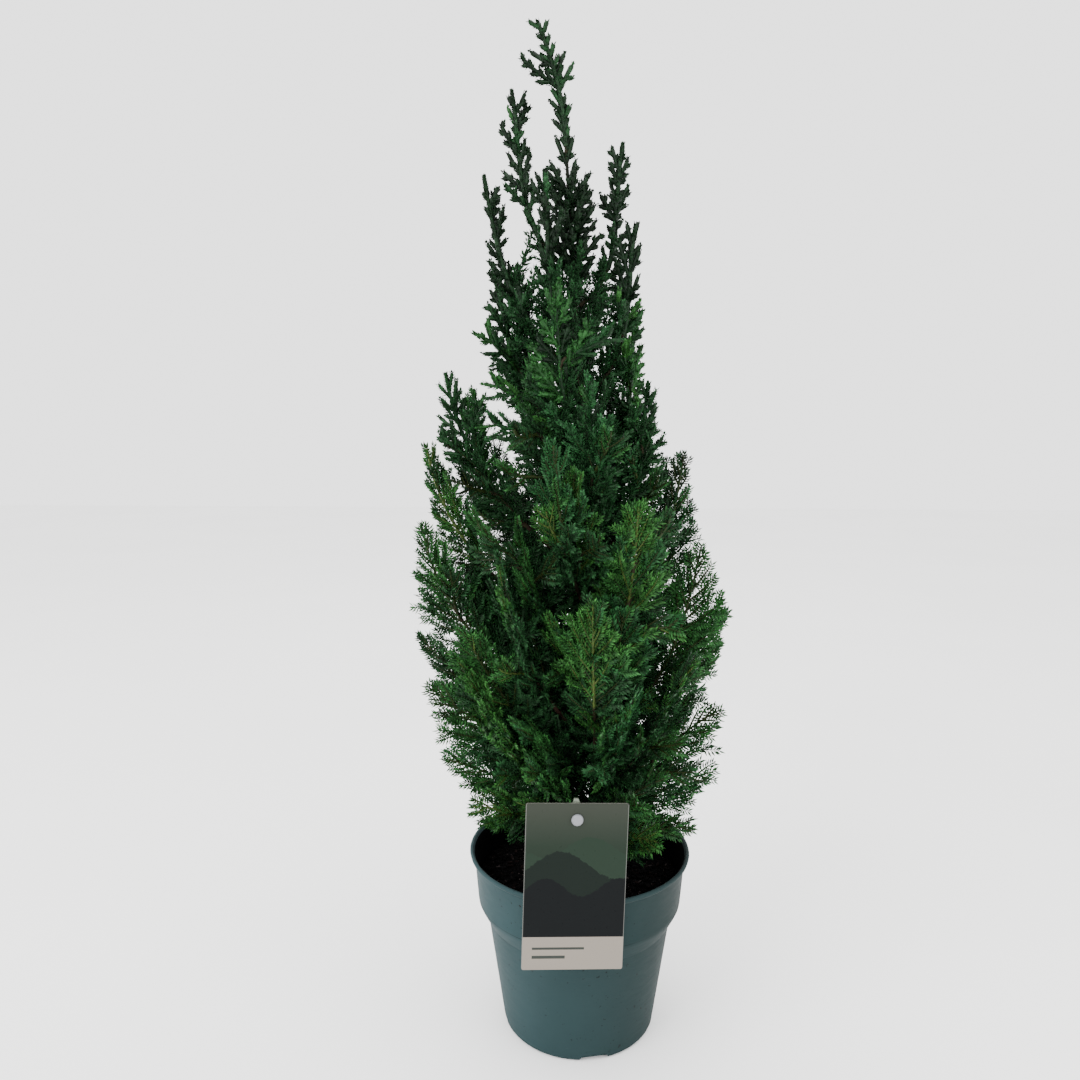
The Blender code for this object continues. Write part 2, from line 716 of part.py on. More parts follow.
def stem_radii(shoot, ends, stems):
    """A thin foot, a slim core where the crown is dense and there is room, and a thin tip."""
    radii = []
    for distance in ends:
        share = (distance - ends[0]) / (ends[-1] - ends[0])
        taper = STEM_RADIUS + (STEM_TIP_RADIUS - STEM_RADIUS) * share
        dense = CORE_SHARE_ON_TOP + (1 - CORE_SHARE_ON_TOP) * flatness(shoot["path"][-1].z)
        swell = CORE_RADIUS * math.sin(math.pi * share**0.8) * dense
        room = CORE_ROOM * room_round(place_on(shoot, distance), shoot["index"], stems)
        radii.append(max(taper, min(swell, room - NEIGHBOUR_GAP)))
    return radii


def inside_outline(points):
    """Whether all points stay within the crown's outline, as its furthest tips give it."""
    reaches = [crown_reach(z, math.atan2(y, x)) for x, y, z in points]
    return all(math.hypot(x, y) < reach + OUTLINE_SLACK for (x, y, _), reach in zip(points, reaches))


def allowed(points, shoot, stems):
    points = np.array(points)
    own = in_own_space(points, shoot["index"], stems)
    return own and clear_of_limbs(points) and inside_outline(points)


def spray_outline(spray, shoot, stems, draw):
    """The outline of a spray: a narrow rib, with teeth that stay in the space of their mass."""
    place, direction, normal, length = spray
    across = normal.cross(direction).normalized()
    count = max(2, round(length / TOOTH_STEP))
    sides = []
    for sign in (1, -1):
        side = [(-RIB_ROOT_SUNK, sign * RIB_ROOT_HALF_WIDTH)]
        for i in range(count):
            foot = (FIRST_TOOTH + TEETH_SPAN * (i + 0.25 * (sign < 0)) / count) * length
            notch = (FIRST_TOOTH + TEETH_SPAN * (i + 1) / count) * length
            reach = TOOTH_SHARE * length * (1 - TOOTH_FALL * i / count) * draw.uniform(0.85, 1.15)
            rib = RIB_HALF_WIDTH * (1 - RIB_FALL * (i + 1) / count)
            start = place + direction * foot
            for share in TOOTH_TRIES:
                x = reach * share * math.cos(TOOTH_ANGLE)
                y = sign * reach * share * math.sin(TOOTH_ANGLE)
                ends = [start + (direction * x + across * y) * k for k in (0.6, 1.0)]
                if shoot["leader"] or allowed(ends, shoot, stems):
                    side += [(foot + x, y), (notch, sign * rib)]
                    break
        sides.append(side)
    return sides[0] + [(length, 0.0)] + sides[1][::-1]


def spray_mesh(spray, outline, collection):
    place, direction, normal, _ = spray
    across = normal.cross(direction).normalized()
    flat = flat_outline("spray_outline", [outline], SPRAY_THICKNESS, collection)
    bpy.context.view_layer.update()
    mesh = evaluated_mesh(flat)
    bpy.data.objects.remove(flat, do_unlink=True)
    frame = Matrix((direction, across, direction.cross(across))).transposed().to_4x4()
    frame.translation = place
    mesh.transform(frame)
    return mesh


def solid_tree(mesh, inflate=0.0):
    """A tree of the faces of a mesh, swollen a little where a gap has to be kept."""
    work = bmesh.new()
    work.from_mesh(mesh)
    work.normal_update()
    for vertex in work.verts:
        vertex.co += vertex.normal * inflate
    tree = BVHTree.FromBMesh(work)
    work.free()
    return tree


def place_spray(spray, shoot, stems, taken, draw, collection):
    """A spray as long as its space allows, or None where even the shortest doesn't fit."""
    place, direction, normal, length = spray
    for share in SPRAY_TRIES:
        tried = (place, direction, normal, length * share)
        if tried[3] < 0.7 * SPRAY_SHORTEST:
            return None
        rib = [place + direction * tried[3] * k for k in (0.4, 0.7, 1.0)]
        if not shoot["leader"] and not allowed(rib, shoot, stems):
            continue
        mesh = spray_mesh(tried, spray_outline(tried, shoot, stems, draw), collection)
        swollen = solid_tree(mesh, NEIGHBOUR_GAP)
        if not any(swollen.overlap(tree) for owner, tree in taken if owner != shoot["name"]):
            return mesh
        bpy.data.meshes.remove(mesh)
    return None


def make_stem(shoot, stems, section, parts):
    """The stem of a foliage mass, and the sprays that are planned along it."""
    rows = list(sprays(shoot, SPRAY_STEP))
    start = shoot["bough"] + GAP if shoot["bough"] else 0.0
    last = shoot["length"] - max(SPRAY_SHORTEST, TIP_SPRAY_SHARE * (shoot["length"] - start))
    rows = [row for row in rows if row[0] < last - 0.3 * SPRAY_STEP]
    ends = [start] + [row[0] for row in rows] + [last, last + STEM_END]
    points = [place_on(shoot, distance) for distance in ends]
    to_tip = shoot["path"][-1] - points[-2]
    points[-1] = points[-2] + to_tip.normalized() * STEM_END
    radii = stem_radii(shoot, ends, stems)
    stem = tube(shoot["name"], points, radii, parts, "foliage", section=section)
    level = rows[-1][3] if rows else Vector((0, -1, 0))
    level = (level - to_tip * level.dot(to_tip) / to_tip.length_squared).normalized()
    tip_spray = (points[-2], to_tip.normalized(), level, to_tip.length)
    return stem, [tip_spray] + [row[1:] for row in rows]


def make_mass(shoot, stem, planned, stems, taken, cutters):
    """One foliage mass: its stem, and the sprays that stay in its own space, fused to it."""
    name = shoot["name"]
    draw = random.Random(SEED * 7 + shoot["index"])
    others = new_collection(name + "_sprays")
    trees = []
    for spray in planned:
        mesh = place_spray(spray, shoot, stems, taken, draw, cutters)
        if mesh:
            as_object(mesh, f"{name}_spray_{len(trees)}", others)
            trees.append((name, solid_tree(mesh)))
    taken.extend(trees)
    boolean(stem, others, "UNION", solver="MANIFOLD")
    for spray in list(others.objects):
        bpy.data.objects.remove(spray, do_unlink=True)
    bpy.data.collections.remove(others)
    stem.data.materials.clear()
    stem.data.materials.append(material("foliage"))


def make_crown(parts, cutters, trunk, others):
    solids = [trunk] + others
    shoots = plan_shoots(solid_tree(trunk.data))
    stems = np.array([shoot["points"] for shoot in shoots])
    section = stem_section(cutters)
    taken = [("fixed", solid_tree(piece.data)) for piece in solids]
    carried = [shoot for shoot in shoots if shoot["bough"]]
    for number, shoot in enumerate(carried, 1):
        bough = make_bough(shoot, number, parts)
        taken.append(("bough", solid_tree(bough.data)))
    planned = []
    for shoot in shoots:
        planned.append(make_stem(shoot, stems, section, parts))
        taken.append((shoot["name"], solid_tree(planned[-1][0].data)))
    for shoot, (stem, rows) in zip(shoots, planned):
        make_mass(shoot, stem, rows, stems, taken, cutters)


# Label


def rounded_rectangle(width, height, corner):
    points = []
    for cx, cy, first in ((1, 1, 0), (-1, 1, 90), (-1, -1, 180), (1, -1, 270)):
        for turn in (0, 45, 90):
            angle = math.radians(first + turn)
            x = cx * (width / 2 - corner) + corner * math.cos(angle)
            y = cy * (height / 2 - corner) + corner * math.sin(angle)
            points.append((x, y))
    return points


def card_frame():
    """The card's frame: its width along X, its height along Y and its front along Z."""
    upright = Matrix.Rotation(math.radians(90), 4, "X")
    lean = Matrix.Rotation(CARD_TILT, 4, "X") @ Matrix.Rotation(CARD_TURN, 4, "Y")
    return Matrix.Translation(CARD_MIDDLE) @ Matrix.Rotation(CARD_FACING, 4, "Z") @ lean @ upright


def hole_place():
    return card_frame() @ Vector((0.0, CARD_HEIGHT / 2 - HOLE_BELOW_TOP, 0.0))


def make_card(parts):
    hole = [
        (
            HOLE_RADIUS * math.cos(2 * math.pi * k / 12),
            CARD_HEIGHT / 2 - HOLE_BELOW_TOP - HOLE_RADIUS * math.sin(2 * math.pi * k / 12),
        )
        for k in range(12)
    ]
    outline = rounded_rectangle(CARD_WIDTH, CARD_HEIGHT, CARD_CORNER)
    card = flat_outline("label_card_outline", [outline, hole], CARD_THICKNESS, parts)
    card.matrix_world = card_frame()
    bpy.context.view_layer.update()
    made = meshed(card, "label_card", parts, "label_card")
    made.data.transform(made.matrix_world)
    made.matrix_world = Matrix.Identity(4)
    return made


def stake_frame():
    """The stake's frame: its foot at the origin, its length along Z and its front along -Y."""
    foot = Vector(STAKE_FOOT)
    behind = card_frame().to_3x3() @ Vector((0, 0, -1))
    hole = hole_place() + behind * ((CARD_THICKNESS + STAKE_THICKNESS) / 2 + STAKE_STANDOFF)
    up = (hole - foot).normalized()
    back = (Vector((0, 1, 0)) - up * up.y).normalized()
    frame = Matrix((back.cross(up), back, up)).transposed().to_4x4()
    frame.translation = foot
    return frame, (hole - foot).length


def make_stake(parts, cutters):
    frame, to_hole = stake_frame()
    top = to_hole + STAKE_ABOVE_HOLE
    half = STAKE_WIDTH / 2
    right = [(half, STAKE_POINT), (half, top - STAKE_CHAMFER), (half * 0.55, top)]
    outline = [(0.0, 0.0)] + right + [(-x, z) for x, z in reversed(right)]
    blade = flat_outline("label_stake_outline", [outline], STAKE_THICKNESS, parts)
    bpy.context.view_layer.update()
    stake = meshed(blade, "label_stake", parts, "label_stake")
    stake.data.transform(frame @ Matrix.Rotation(math.radians(90), 4, "X"))
    ahead = CARD_THICKNESS / 2 + GAP
    behind = CARD_THICKNESS / 2 + STAKE_STANDOFF + STAKE_THICKNESS * 0.7
    profile = [
        (0.0, ahead + BUTTON_HEIGHT),
        (BUTTON_RADIUS * 0.62, ahead + BUTTON_HEIGHT * 0.78),
        (BUTTON_RADIUS, ahead + BUTTON_HEIGHT * 0.25),
        (BUTTON_RADIUS, ahead),
        (PEG_RADIUS, ahead),
        (PEG_RADIUS, -behind),
        (0.0, -behind),
    ]
    button = turned("button", profile, cutters, "label_stake", 12)
    button.data.transform(Matrix.Translation(hole_place()) @ card_frame().to_3x3().to_4x4())
    boolean(stake, button, "UNION")
    bpy.data.objects.remove(button, do_unlink=True)
    return stake


def main():
    clear_scene()
    parts = new_collection("LawsonCypress")
    cutters = new_collection("Cutters")
    pot = make_pot(parts, cutters)
    soil = make_soil(parts, cutters, stake_frame()[0])
    trunk = make_trunk(parts)
    card = make_card(parts)
    stake = make_stake(parts, cutters)
    make_crown(parts, cutters, trunk, [pot, soil, card, stake])


main()
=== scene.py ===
# The looks of a young lawson cypress in a nursery pot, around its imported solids.
# Metres, +Z up. The origin is the middle of the pot's underside, and -Y is the front.

import math
import random

import bmesh
import bpy
import numpy as np
from mathutils import Matrix, Vector, noise


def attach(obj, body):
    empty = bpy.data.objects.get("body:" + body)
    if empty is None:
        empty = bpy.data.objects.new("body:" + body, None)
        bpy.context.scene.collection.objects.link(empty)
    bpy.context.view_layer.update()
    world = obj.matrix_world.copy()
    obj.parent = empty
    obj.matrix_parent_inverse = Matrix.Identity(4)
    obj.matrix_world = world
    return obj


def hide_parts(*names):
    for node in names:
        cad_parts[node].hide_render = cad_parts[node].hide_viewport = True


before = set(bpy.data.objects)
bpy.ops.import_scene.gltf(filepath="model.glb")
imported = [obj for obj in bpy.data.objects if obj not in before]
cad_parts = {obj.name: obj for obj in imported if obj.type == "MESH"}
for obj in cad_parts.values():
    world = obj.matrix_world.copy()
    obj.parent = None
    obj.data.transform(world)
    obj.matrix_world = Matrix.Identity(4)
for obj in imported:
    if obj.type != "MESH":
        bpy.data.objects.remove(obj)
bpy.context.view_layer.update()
SEED = 11

# Pot: radii of its outer wall, and the heights where they hold
POT_HEIGHT = 0.1072
LIP_RADIUS = 0.065
LIP_DEPTH = 0.0030
LIP_WALL = 0.0021
COLLAR_TOP_RADIUS = 0.0622
COLLAR_FOOT_RADIUS = 0.0600
COLLAR_FOOT_HEIGHT = 0.0765
BODY_TOP_RADIUS = 0.0542
BODY_TOP_HEIGHT = 0.0655
BASE_RADIUS = 0.0451
BASE_ROUNDING = 0.0020
POT_WALL = 0.0016
POT_SIDES = 144
# Painted shade lines in the creases at the collar's foot and the body's top: the collar line's height, and
# where each line fades out across the pot
COLLAR_CREASE_HEIGHT = 0.0772
COLLAR_CREASE_SHADE_FADE = (0.022, 0.050)
BODY_CREASE_SHADE_FADE = (-0.053, -0.028)
NOTCHES = 4
NOTCH_WIDTH = 0.020
NOTCH_HEIGHT = 0.003
NOTCH_DEPTH = 0.0035
NOTCH_TAPER = 0.70
NOTCH_ROUNDING = 0.0012
FIRST_NOTCH_DEG = -78.0
POT_COLOUR = (0.0226, 0.0455, 0.0500)
# Painted shade: the colour the pot darkens to towards its right side
POT_SHADE_RIGHT = (0.0068, 0.0134, 0.0124)

# Soil: its level at the wall and at the trunk
SOIL_EDGE = 0.0885
SOIL_RADIUS = 0.0592
SOIL_MIDDLE = 0.0925
SOIL_FLAT_RADIUS = 0.013
SOIL_FALL = 1.5
SOIL_ROUGHNESS = 0.0016
SOIL_GRID = 150
SOIL_SKIRT = 0.012
CALM_RADIUS = 0.006
CALM_FADE = 0.010
LUMP_MARGIN = 0.0018
LUMP_RISE = 0.25
LUMP_THICKNESS = 0.7
LUMP_ROUGHNESS = 0.28
CRUMBS = 2600
CHIPS = 420

# Trunk: its lean is a drift across, a bow and a sway along its height
TRUNK_FOOT = SOIL_MIDDLE + 0.0003
TRUNK_FOOT_ACROSS = 0.006
TRUNK_TOP = 0.500
TRUNK_DRIFT = -0.0152
TRUNK_BOW = 0.0087
TRUNK_SWAY = 0.0031
TRUNK_DEPTH_SWAY = 0.002
TRUNK_RADIUS = 0.0042
TRUNK_TIP_RADIUS = 0.0009
TRUNK_TAPER = 1.2
TRUNK_RINGS = 150
TRUNK_SIDES = 20
BARK_RELIEF = 0.00045
FLARE = 0.0028
FLARE_HEIGHT = 0.007
FLARE_LOBES = 5
LOBE_DEPTH = 0.14
LOBE_HEIGHT = 0.010
YOUNG_BARK_FROM = 0.375
BARK_BROWNS = ((0.004, 0.002, 0.0015), (0.016, 0.0075, 0.0050), (0.040, 0.020, 0.014))
TWIG_BROWNS = ((0.006, 0.005, 0.003), (0.016, 0.013, 0.007), (0.034, 0.028, 0.014))

# Crown: how far the shoots at the left and right edge reach, with the heights of their tips
LEFT_TIPS = (
    (0.534, 0.039), (0.487, 0.053), (0.443, 0.049), (0.383, 0.075), (0.344, 0.089),
    (0.300, 0.090), (0.233, 0.096), (0.206, 0.088), (0.155, 0.082), (0.134, 0.064),
)
RIGHT_TIPS = (
    (0.506, 0.021), (0.462, 0.028), (0.422, 0.030), (0.378, 0.036), (0.340, 0.058),
    (0.289, 0.067), (0.250, 0.084), (0.195, 0.080), (0.150, 0.081), (0.124, 0.066),
)
FRONT_TIPS = (
    (0.485, 0.031), (0.379, 0.046), (0.348, 0.062), (0.291, 0.070), (0.270, 0.074), (0.178, 0.068),
)
FRONT_ACROSS = (-0.020, 0.004, -0.014, -0.042, 0.006, -0.028)
EDGE_DEPTH = 0.010
OUTLINE_SLACK = 0.003
LEADER_TIP = (-0.0247, 0.0, 0.566)
LEADER_TIP_HEADING = (-0.42, 0.0, 1.0)
LEADER_PULLS = (0.40, 0.35)
FILL_TRIES = 130
FILL_LOWEST = 0.132
FILL_HIGHEST = 0.505
FILL_REACH = 0.94
FILL_SPACING = 0.043
BACK_DEPTH = ((0.12, 0.060), (0.18, 0.072), (0.26, 0.076), (0.33, 0.066), (0.40, 0.048), (0.50, 0.026))
MOST_SHOOTS = 44
TURN = math.radians(137.5)

# Plumes that branch off from the shoots, at closer spacing
SIDE_TRIES = 700
SIDE_SPACING = 0.0235
SIDE_REACH = (0.90, 0.80, 0.66)
SIDE_SHARES = (0.14, 0.22, 0.30, 0.38, 0.46, 0.54, 0.62, 0.70)
SIDE_ANGLES = (math.radians(9), math.radians(60))
SIDE_SHORTEST = 0.032
SIDE_HIGHEST = 0.430
EDGE_REACH = (0.84, 0.74, 0.66)
MOST_SIDE_SHOOTS = 150
SIDE_LEAST_RISE = 0.01
EDGE_VIEW = 0.82
EDGE_FORM = 0.5

# Single plumes that stand out in front, and others that fill in behind: root height, tip and tone
SINGLE_PLUMES = (
    (0.124, (-0.066, -0.050, 0.236), "fresh"), (0.238, (-0.004, -0.049, 0.333), "fresh"),
    (0.178, (0.022, -0.054, 0.262), "blue"), (0.205, (-0.014, -0.056, 0.258), "fresh"),
    (0.106, (0.044, -0.042, 0.130), "fresh"), (0.150, (-0.034, -0.056, 0.200), "mid"),
    (0.212, (-0.034, -0.034, 0.306), "mid"), (0.250, (-0.032, 0.022, 0.340), "deep"),
    (0.196, (-0.030, 0.036, 0.286), "deep"), (0.300, (-0.026, -0.024, 0.392), "mid"),
    (0.165, (-0.032, -0.018, 0.250), "deep"), (0.190, (-0.042, 0.008, 0.286), "deep"),
    (0.170, (-0.064, 0.012, 0.280), "mid"), (0.160, (0.040, 0.040, 0.250), "deep"),
    (0.128, (-0.052, 0.030, 0.214), "deep"),
)

# How a shoot leaves the trunk and rises to its tip
RISE_SHARE = 0.62
RISE_MOST = 0.100
RISE_FOR_REACH = 0.5
USUAL_REACH = 0.050
TOP_ROOT_BELOW_TIP = 0.030
LOWEST_ROOT = 0.010
LEAN_MOST = 0.92
LEAN_LEAST = 0.14
LEVEL_BELOW = 0.120
UPRIGHT_OVER = 0.200
ROOT_SLOPE = math.radians(34)
ROOT_PULL = 0.36
ROOT_CLEARANCE = 0.0004
TIP_PULL = 0.40
SIDE_PULL = 0.35
STEM_CLEARANCE = 0.0042
ROOT_SHIFTS = (0.0, -0.008, 0.008, -0.016, 0.016, -0.024, 0.024, -0.034, 0.034)
PATH_POINTS = 17
HEADING_STEP = 0.004
BOUGH_FROM_LENGTH = 0.120
BOUGH_SHARE = 0.30
MOST_BOUGHS = 11
BOUGH_RADIUS = 0.0017
BOUGH_TIP_RADIUS = 0.0012
STEM_RADIUS = 0.0012
STEM_TIP_RADIUS = 0.0009

# Sprays along a shoot
FIRST_SPRAY = 0.012
FIRST_SPRAY_ON_BOUGH = 0.006
SPRAY_STEP = (0.0022, 0.0043)
OPEN_BEYOND = 0.055
OPEN_BELOW = 0.300
OPEN_STEP = 1.40
TIP_SPRAY = 0.0065
TIP_SPREAD = 0.50
FOOT_SPRAY_SHARE = 0.62
FOOT_SPRAY_RISE = 1.2
SPRAY_SHARE = 0.46
SPRAY_LONGEST_BY_HEIGHT = ((0.15, 0.038), (0.30, 0.034), (0.42, 0.027), (0.50, 0.020), (0.566, 0.0155))
SPRAY_SHORTEST = 0.011
SPRAY_LENGTHS = (0.70, 1.12)
SPRAY_ANGLE_LOW = math.radians(43)
SPRAY_ANGLE_HIGH = math.radians(30)
SPRAY_ANGLE_SPREAD = math.radians(9)
SPRAY_ROLL = math.radians(28)
SPRAY_CURL = 0.14
SPRAY_AROUND = 1.2
FLAT_SHARE = 0.75
FLAT_AROUND = 0.25
STEP_SPREAD = (0.85, 1.15)
LAST_SPRAY = 0.6 * SPRAY_SHORTEST
OWN_END = 0.8 * SPRAY_SHORTEST
EDGE_TWIST = (50, 82)
FILL_TWIST = (15, 55)
FLAT_BELOW = 0.30
ROUND_ABOVE = 0.43

# The leader's own sprays: distance below its tip, side, length and angle in degrees
LEADER_SPRAYS = (
    (0.024, -1, 0.0145, 44), (0.028, 1, 0.0120, 42), (0.036, 1, 0.0155, 38), (0.0355, -1, 0.0235, 46),
    (0.048, -1, 0.0090, 40), (0.052, 1, 0.0080, 34), (0.058, -1, 0.0088, 38), (0.073, 1, 0.0120, 20),
    (0.075, -1, 0.0155, 19), (0.087, 1, 0.0150, 21), (0.092, -1, 0.0200, 21),
)
LEADER_STUBS = (0.0042, 0.0072)
LEADER_STUB_STEP = 0.0030
PRESSED_BELOW = 0.044
PRESSED_TO = 0.084
PRESSED_STEP = 0.0026
PRESSED_ANGLE = 20
PRESSED_LENGTHS = (0.0050, 0.0088)
STUB_ANGLE = 38
LEADER_TURN = 0.5
LEADER_ANGLES = (-0.05, 0.12)
LEADER_CURL = 0.10

# Short sprays in the shade, on the trunk and on the bare feet of the shoots
SHADE_STEP = 0.0040
SHADE_SHARE = 0.72
SHADE_FROM_TIP = 0.040
SHADE_ANGLE = math.radians(50)
SHADE_ROLL = 0.8
SHADE_LENGTHS = (0.015, 0.026)
SHADE_REACH = 0.72
SHADE_CURL = 0.15
SHADE_HIGHEST = 0.430
TRUNK_SPRAYS = 300
TRUNK_SPRAY_LOWEST = 0.108
TRUNK_SPRAY_HIGHEST = 0.480
TRUNK_SPRAY_LENGTHS = (0.020, 0.044)
TOP_SPRAY_LENGTHS = (0.011, 0.020)
TRUNK_SPRAY_ANGLE = math.radians(46)
TRUNK_SPRAY_REACH = 0.75
TRUNK_SPRAY_CURL = 0.2
TRUNK_NEEDLES_FROM = 0.36
THIN_SPRAYS_FROM = 0.340
THIN_SPRAYS_TO = 0.430

# Side twigs on the sprays
TWIG_STEP = (0.0064, 0.0031)
TWIG_SHARE = (0.48, 0.36)
TWIG_FALL = 0.60
TWIG_ANGLE = math.radians(42)
TWIG_ANGLE_SPREAD = math.radians(8)
TWIG_FIRST = (0.20, 0.08)
TWIG_LAST = 0.96
TWIG_LEAST = (0.0062, 0.0032)
TWIG_AROUND = 0.35
TWIG_CURL = 0.12
TWIG_LENGTHS = (0.82, 1.15)
TWIG_TRIES = (1.0, 0.72, 0.5)
TESTED_AT = (0.55, 1.0)
OWN_SPACE_SLACK = 0.014
POINTS_AT_ONCE = 2000
LIMB_CLEARANCE = 0.0015
RIM_CLEARANCE = 0.002
SOIL_CLEARANCE = 0.003
CARD_CLEARANCE = 0.0025
STAKE_CLEARANCE = 0.003

# Needles, each with its loose form low on the plant and its close form in the upright top
NEEDLES = {
    "length": (0.0050, 0.0030), "width": (0.00120, 0.00150), "spacing": (0.00088, 0.00070),
    "angle": (math.radians(60), math.radians(46)), "tip_angle": (math.radians(34), math.radians(40)),
}
AWLS = {
    "length": (0.0052, 0.0042), "width": (0.00085, 0.00080), "spacing": (0.0018, 0.0018),
    "angle": (math.radians(55), math.radians(48)), "tip_angle": (math.radians(30), math.radians(26)),
}
SHADE_NEEDLES = {
    "length": (0.0046, 0.0042), "width": (0.00125, 0.00140), "spacing": (0.00115, 0.00115),
    "angle": (math.radians(50), math.radians(42)), "tip_angle": (math.radians(26), math.radians(22)),
}

# How needles stand on a twig: crowded to its end, shorter on its flat side, rolled to show their face
NEEDLE_CROWDING = (0.85, 1.0)
NEEDLE_TURN = (0.0, 0.4)
NEEDLE_TURN_SPREAD = (0.15, 0.35)
NEEDLE_TAPER = (0.12, 0.30)
NEEDLE_SLANT_SPREAD = 0.12
NEEDLE_WIDEST = 0.42
NEEDLE_FOLD = 0.18
NEEDLE_HOOK = 0.07
NEEDLE_LENGTHS = (0.85, 1.12)
NEEDLE_WIDTHS = (0.85, 1.15)
COMB_LIFT = 0.40
COMB_ROLL = (math.radians(58), 0.0)
COMB_ROLL_SPREAD = math.radians(16)

# Stalks, and how the tones are dealt out
CLOSE_FROM = 0.45
SPRAY_AXIS_RADIUS = 0.00058
TWIG_RADIUS = (0.00050, 0.00140)
AXIS_RADIUS = (0.0009, 0.0015)
AXIS_STRETCH = 0.012
STEM_UNEVENNESS = 0.12
AXIS_TIP_RADIUS = (0.0005, 0.0011)
LEAST_SPRAY = 0.0030
WOODY_SHARE = 0.28
LEADER_WOODY_SHARE = 0.05
TONE_KEPT = 0.70
# Painted shade: the share of a plume's sprays, from its foot, that mostly take the deep tone
SHADED_FOOT_SHARE = 0.35
HIDDEN_SHARE = 0.58
MOST_TRIANGLES = 190000

# Label
CARD_WIDTH = 0.0535
CARD_HEIGHT = 0.0915
CARD_THICKNESS = 0.0006
CARD_CORNER = 0.0012
CARD_ROUNDING = 0.00008
CARD_MIDDLE = (-0.0021, -0.0662, 0.1170)
CARD_TURN = math.radians(1.8)
CARD_TILT = math.radians(-1.2)
CARD_FACING = math.radians(6.4)
HOLE_RADIUS = 0.0022
HOLE_BELOW_TOP = 0.0088
BUTTON_RADIUS = 0.0031
BUTTON_HEIGHT = 0.0021
BUTTON_BRIM = 0.0006
BUTTON_SIDES = 48
PEG_RADIUS = 0.0015
STAKE_WIDTH = 0.0042
STAKE_THICKNESS = 0.0012
STAKE_FOOT = (0.0006, -0.0535, 0.074)
STAKE_STANDOFF = 0.0022
STAKE_ABOVE_HOLE = 0.0108
STAKE_POINT = 0.008
STAKE_CHAMFER = 0.003
STAKE_ROUNDING = 0.00022
STAKE_POINT_SHARE = 0.12
STAKE_TOP_SHARE = 0.55

# The card's print: its sky, hills as (base, size, waves, shift, colour) and bars as (low, high, left, right)
SKY = ((0.55, (0.0086, 0.0150, 0.0096)), (0.75, (0.0130, 0.0200, 0.0140)), (0.97, (0.0260, 0.0300, 0.0235)))
HILLS = (
    (0.022, 0.0055, 130.0, 0.6, (0.0125, 0.0215, 0.0145)),
    (0.012, 0.0075, 105.0, 2.4, (0.0062, 0.0095, 0.0076)),
    (0.000, 0.0050, 165.0, 4.1, (0.0042, 0.0050, 0.0054)),
)
HILL_ROUGHNESS = 0.004
BARS = ((-0.0345, -0.0332, -0.0215, 0.006), (-0.0395, -0.0378, -0.0215, -0.004))
BAR_COLOUR = (0.030, 0.034, 0.030)
CARD_FOOT = 0.2 * CARD_HEIGHT
CARD_FOOT_COLOUR = (0.185, 0.164, 0.140)
CUT_EDGE = 0.00035
CUT_EDGE_COLOUR = (0.150, 0.150, 0.140)
CARD_BACK_COLOUR = (0.205, 0.195, 0.175)

# Camera and light
CAMERA_PLACE = (0.0, -0.494, 0.360)
CAMERA_PITCH = math.radians(-8.0)
CAMERA_YAW = math.atan(41.5 / 876.0)
CAMERA_LENS = 29.2
SENSOR_WIDTH = 36.0
SKY_STRENGTH = 2.5
LIGHT_TARGET = (0.0, 0.0, 0.25)
FLOOR_SIZE = 6.0
FLOOR_LEVEL = -0.0004

# Soft lights: name, place, size and power
SOFTBOXES = (
    ("key_softbox", (-1.0, -1.0, 1.25), 0.9, 26.0),
    ("fill_softbox", (1.2, -0.7, 0.7), 1.0, 11.0),
    ("top_softbox", (-0.2, 0.3, 1.7), 1.0, 9.0),
)

FOLIAGE_NODES = sorted(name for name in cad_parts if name.startswith("foliage"))
BOUGH_NODES = sorted(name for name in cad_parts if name.startswith("bough"))

# Foliage tones, dealt out by spray
TONES = {
    "dark": (0.0050, 0.0165, 0.0060),
    "deep": (0.0100, 0.0390, 0.0125),
    "mid": (0.0165, 0.0680, 0.0165),
    "fresh": (0.0200, 0.0780, 0.0160),
    "blue": (0.0140, 0.0600, 0.0190),
}
TONE_NAMES = list(TONES)

# Where the crown counts as high, as its top and as low: a height, and the span over which it fades in
HIGH_CROWN = (0.30, 0.20)
TOP_CROWN = (0.44, 0.03)
LOW_CROWN = (0.24, 0.10)
FRONT_FADE = 0.04

UP = Vector((0.0, 0.0, 1.0))


# Small sums


def clamp(value):
    """A value held between 0 and 1."""
    return min(1.0, max(0.0, value))


def between(pair, club):
    """A value between its loose form and its close form."""
    return pair[0] + (pair[1] - pair[0]) * club


def at_height(height, pairs):
    """A value read off between pairs of (height, value)."""
    heights, values = zip(*sorted(pairs))
    return np.interp(height, heights, values)


def square_to(axis, vector):
    """The direction of the part of a vector that is square to an axis."""
    return (vector - axis * vector.dot(axis)).normalized()


def leaning(ahead, out, angle):
    """A direction turned by an angle from one towards another."""
    return ahead * math.cos(angle) + out * math.sin(angle)


def ring_sides(ahead):
    """Two directions square to each other and to a limb's heading."""
    side = Vector((0.0, 1.0, 0.0)).cross(ahead).normalized()
    return side, ahead.cross(side)


# Materials


def start_material(name, colour, roughness, gloss=0.5):
    """A material with a plain shader, its nodes and the coordinates of the piece."""
    made = bpy.data.materials.new(name)
    made.use_nodes = True
    made.diffuse_color = (*colour, 1.0)
    nodes = made.node_tree.nodes
    shader = nodes["Principled BSDF"]
    shader.inputs["Base Color"].default_value = (*colour, 1.0)
    shader.inputs["Roughness"].default_value = roughness
    shader.inputs["Specular IOR Level"].default_value = gloss
    place = nodes.new("ShaderNodeTexCoord").outputs["Object"]
    return made, shader, place


def link(material, start, end):
    material.node_tree.links.new(start, end)


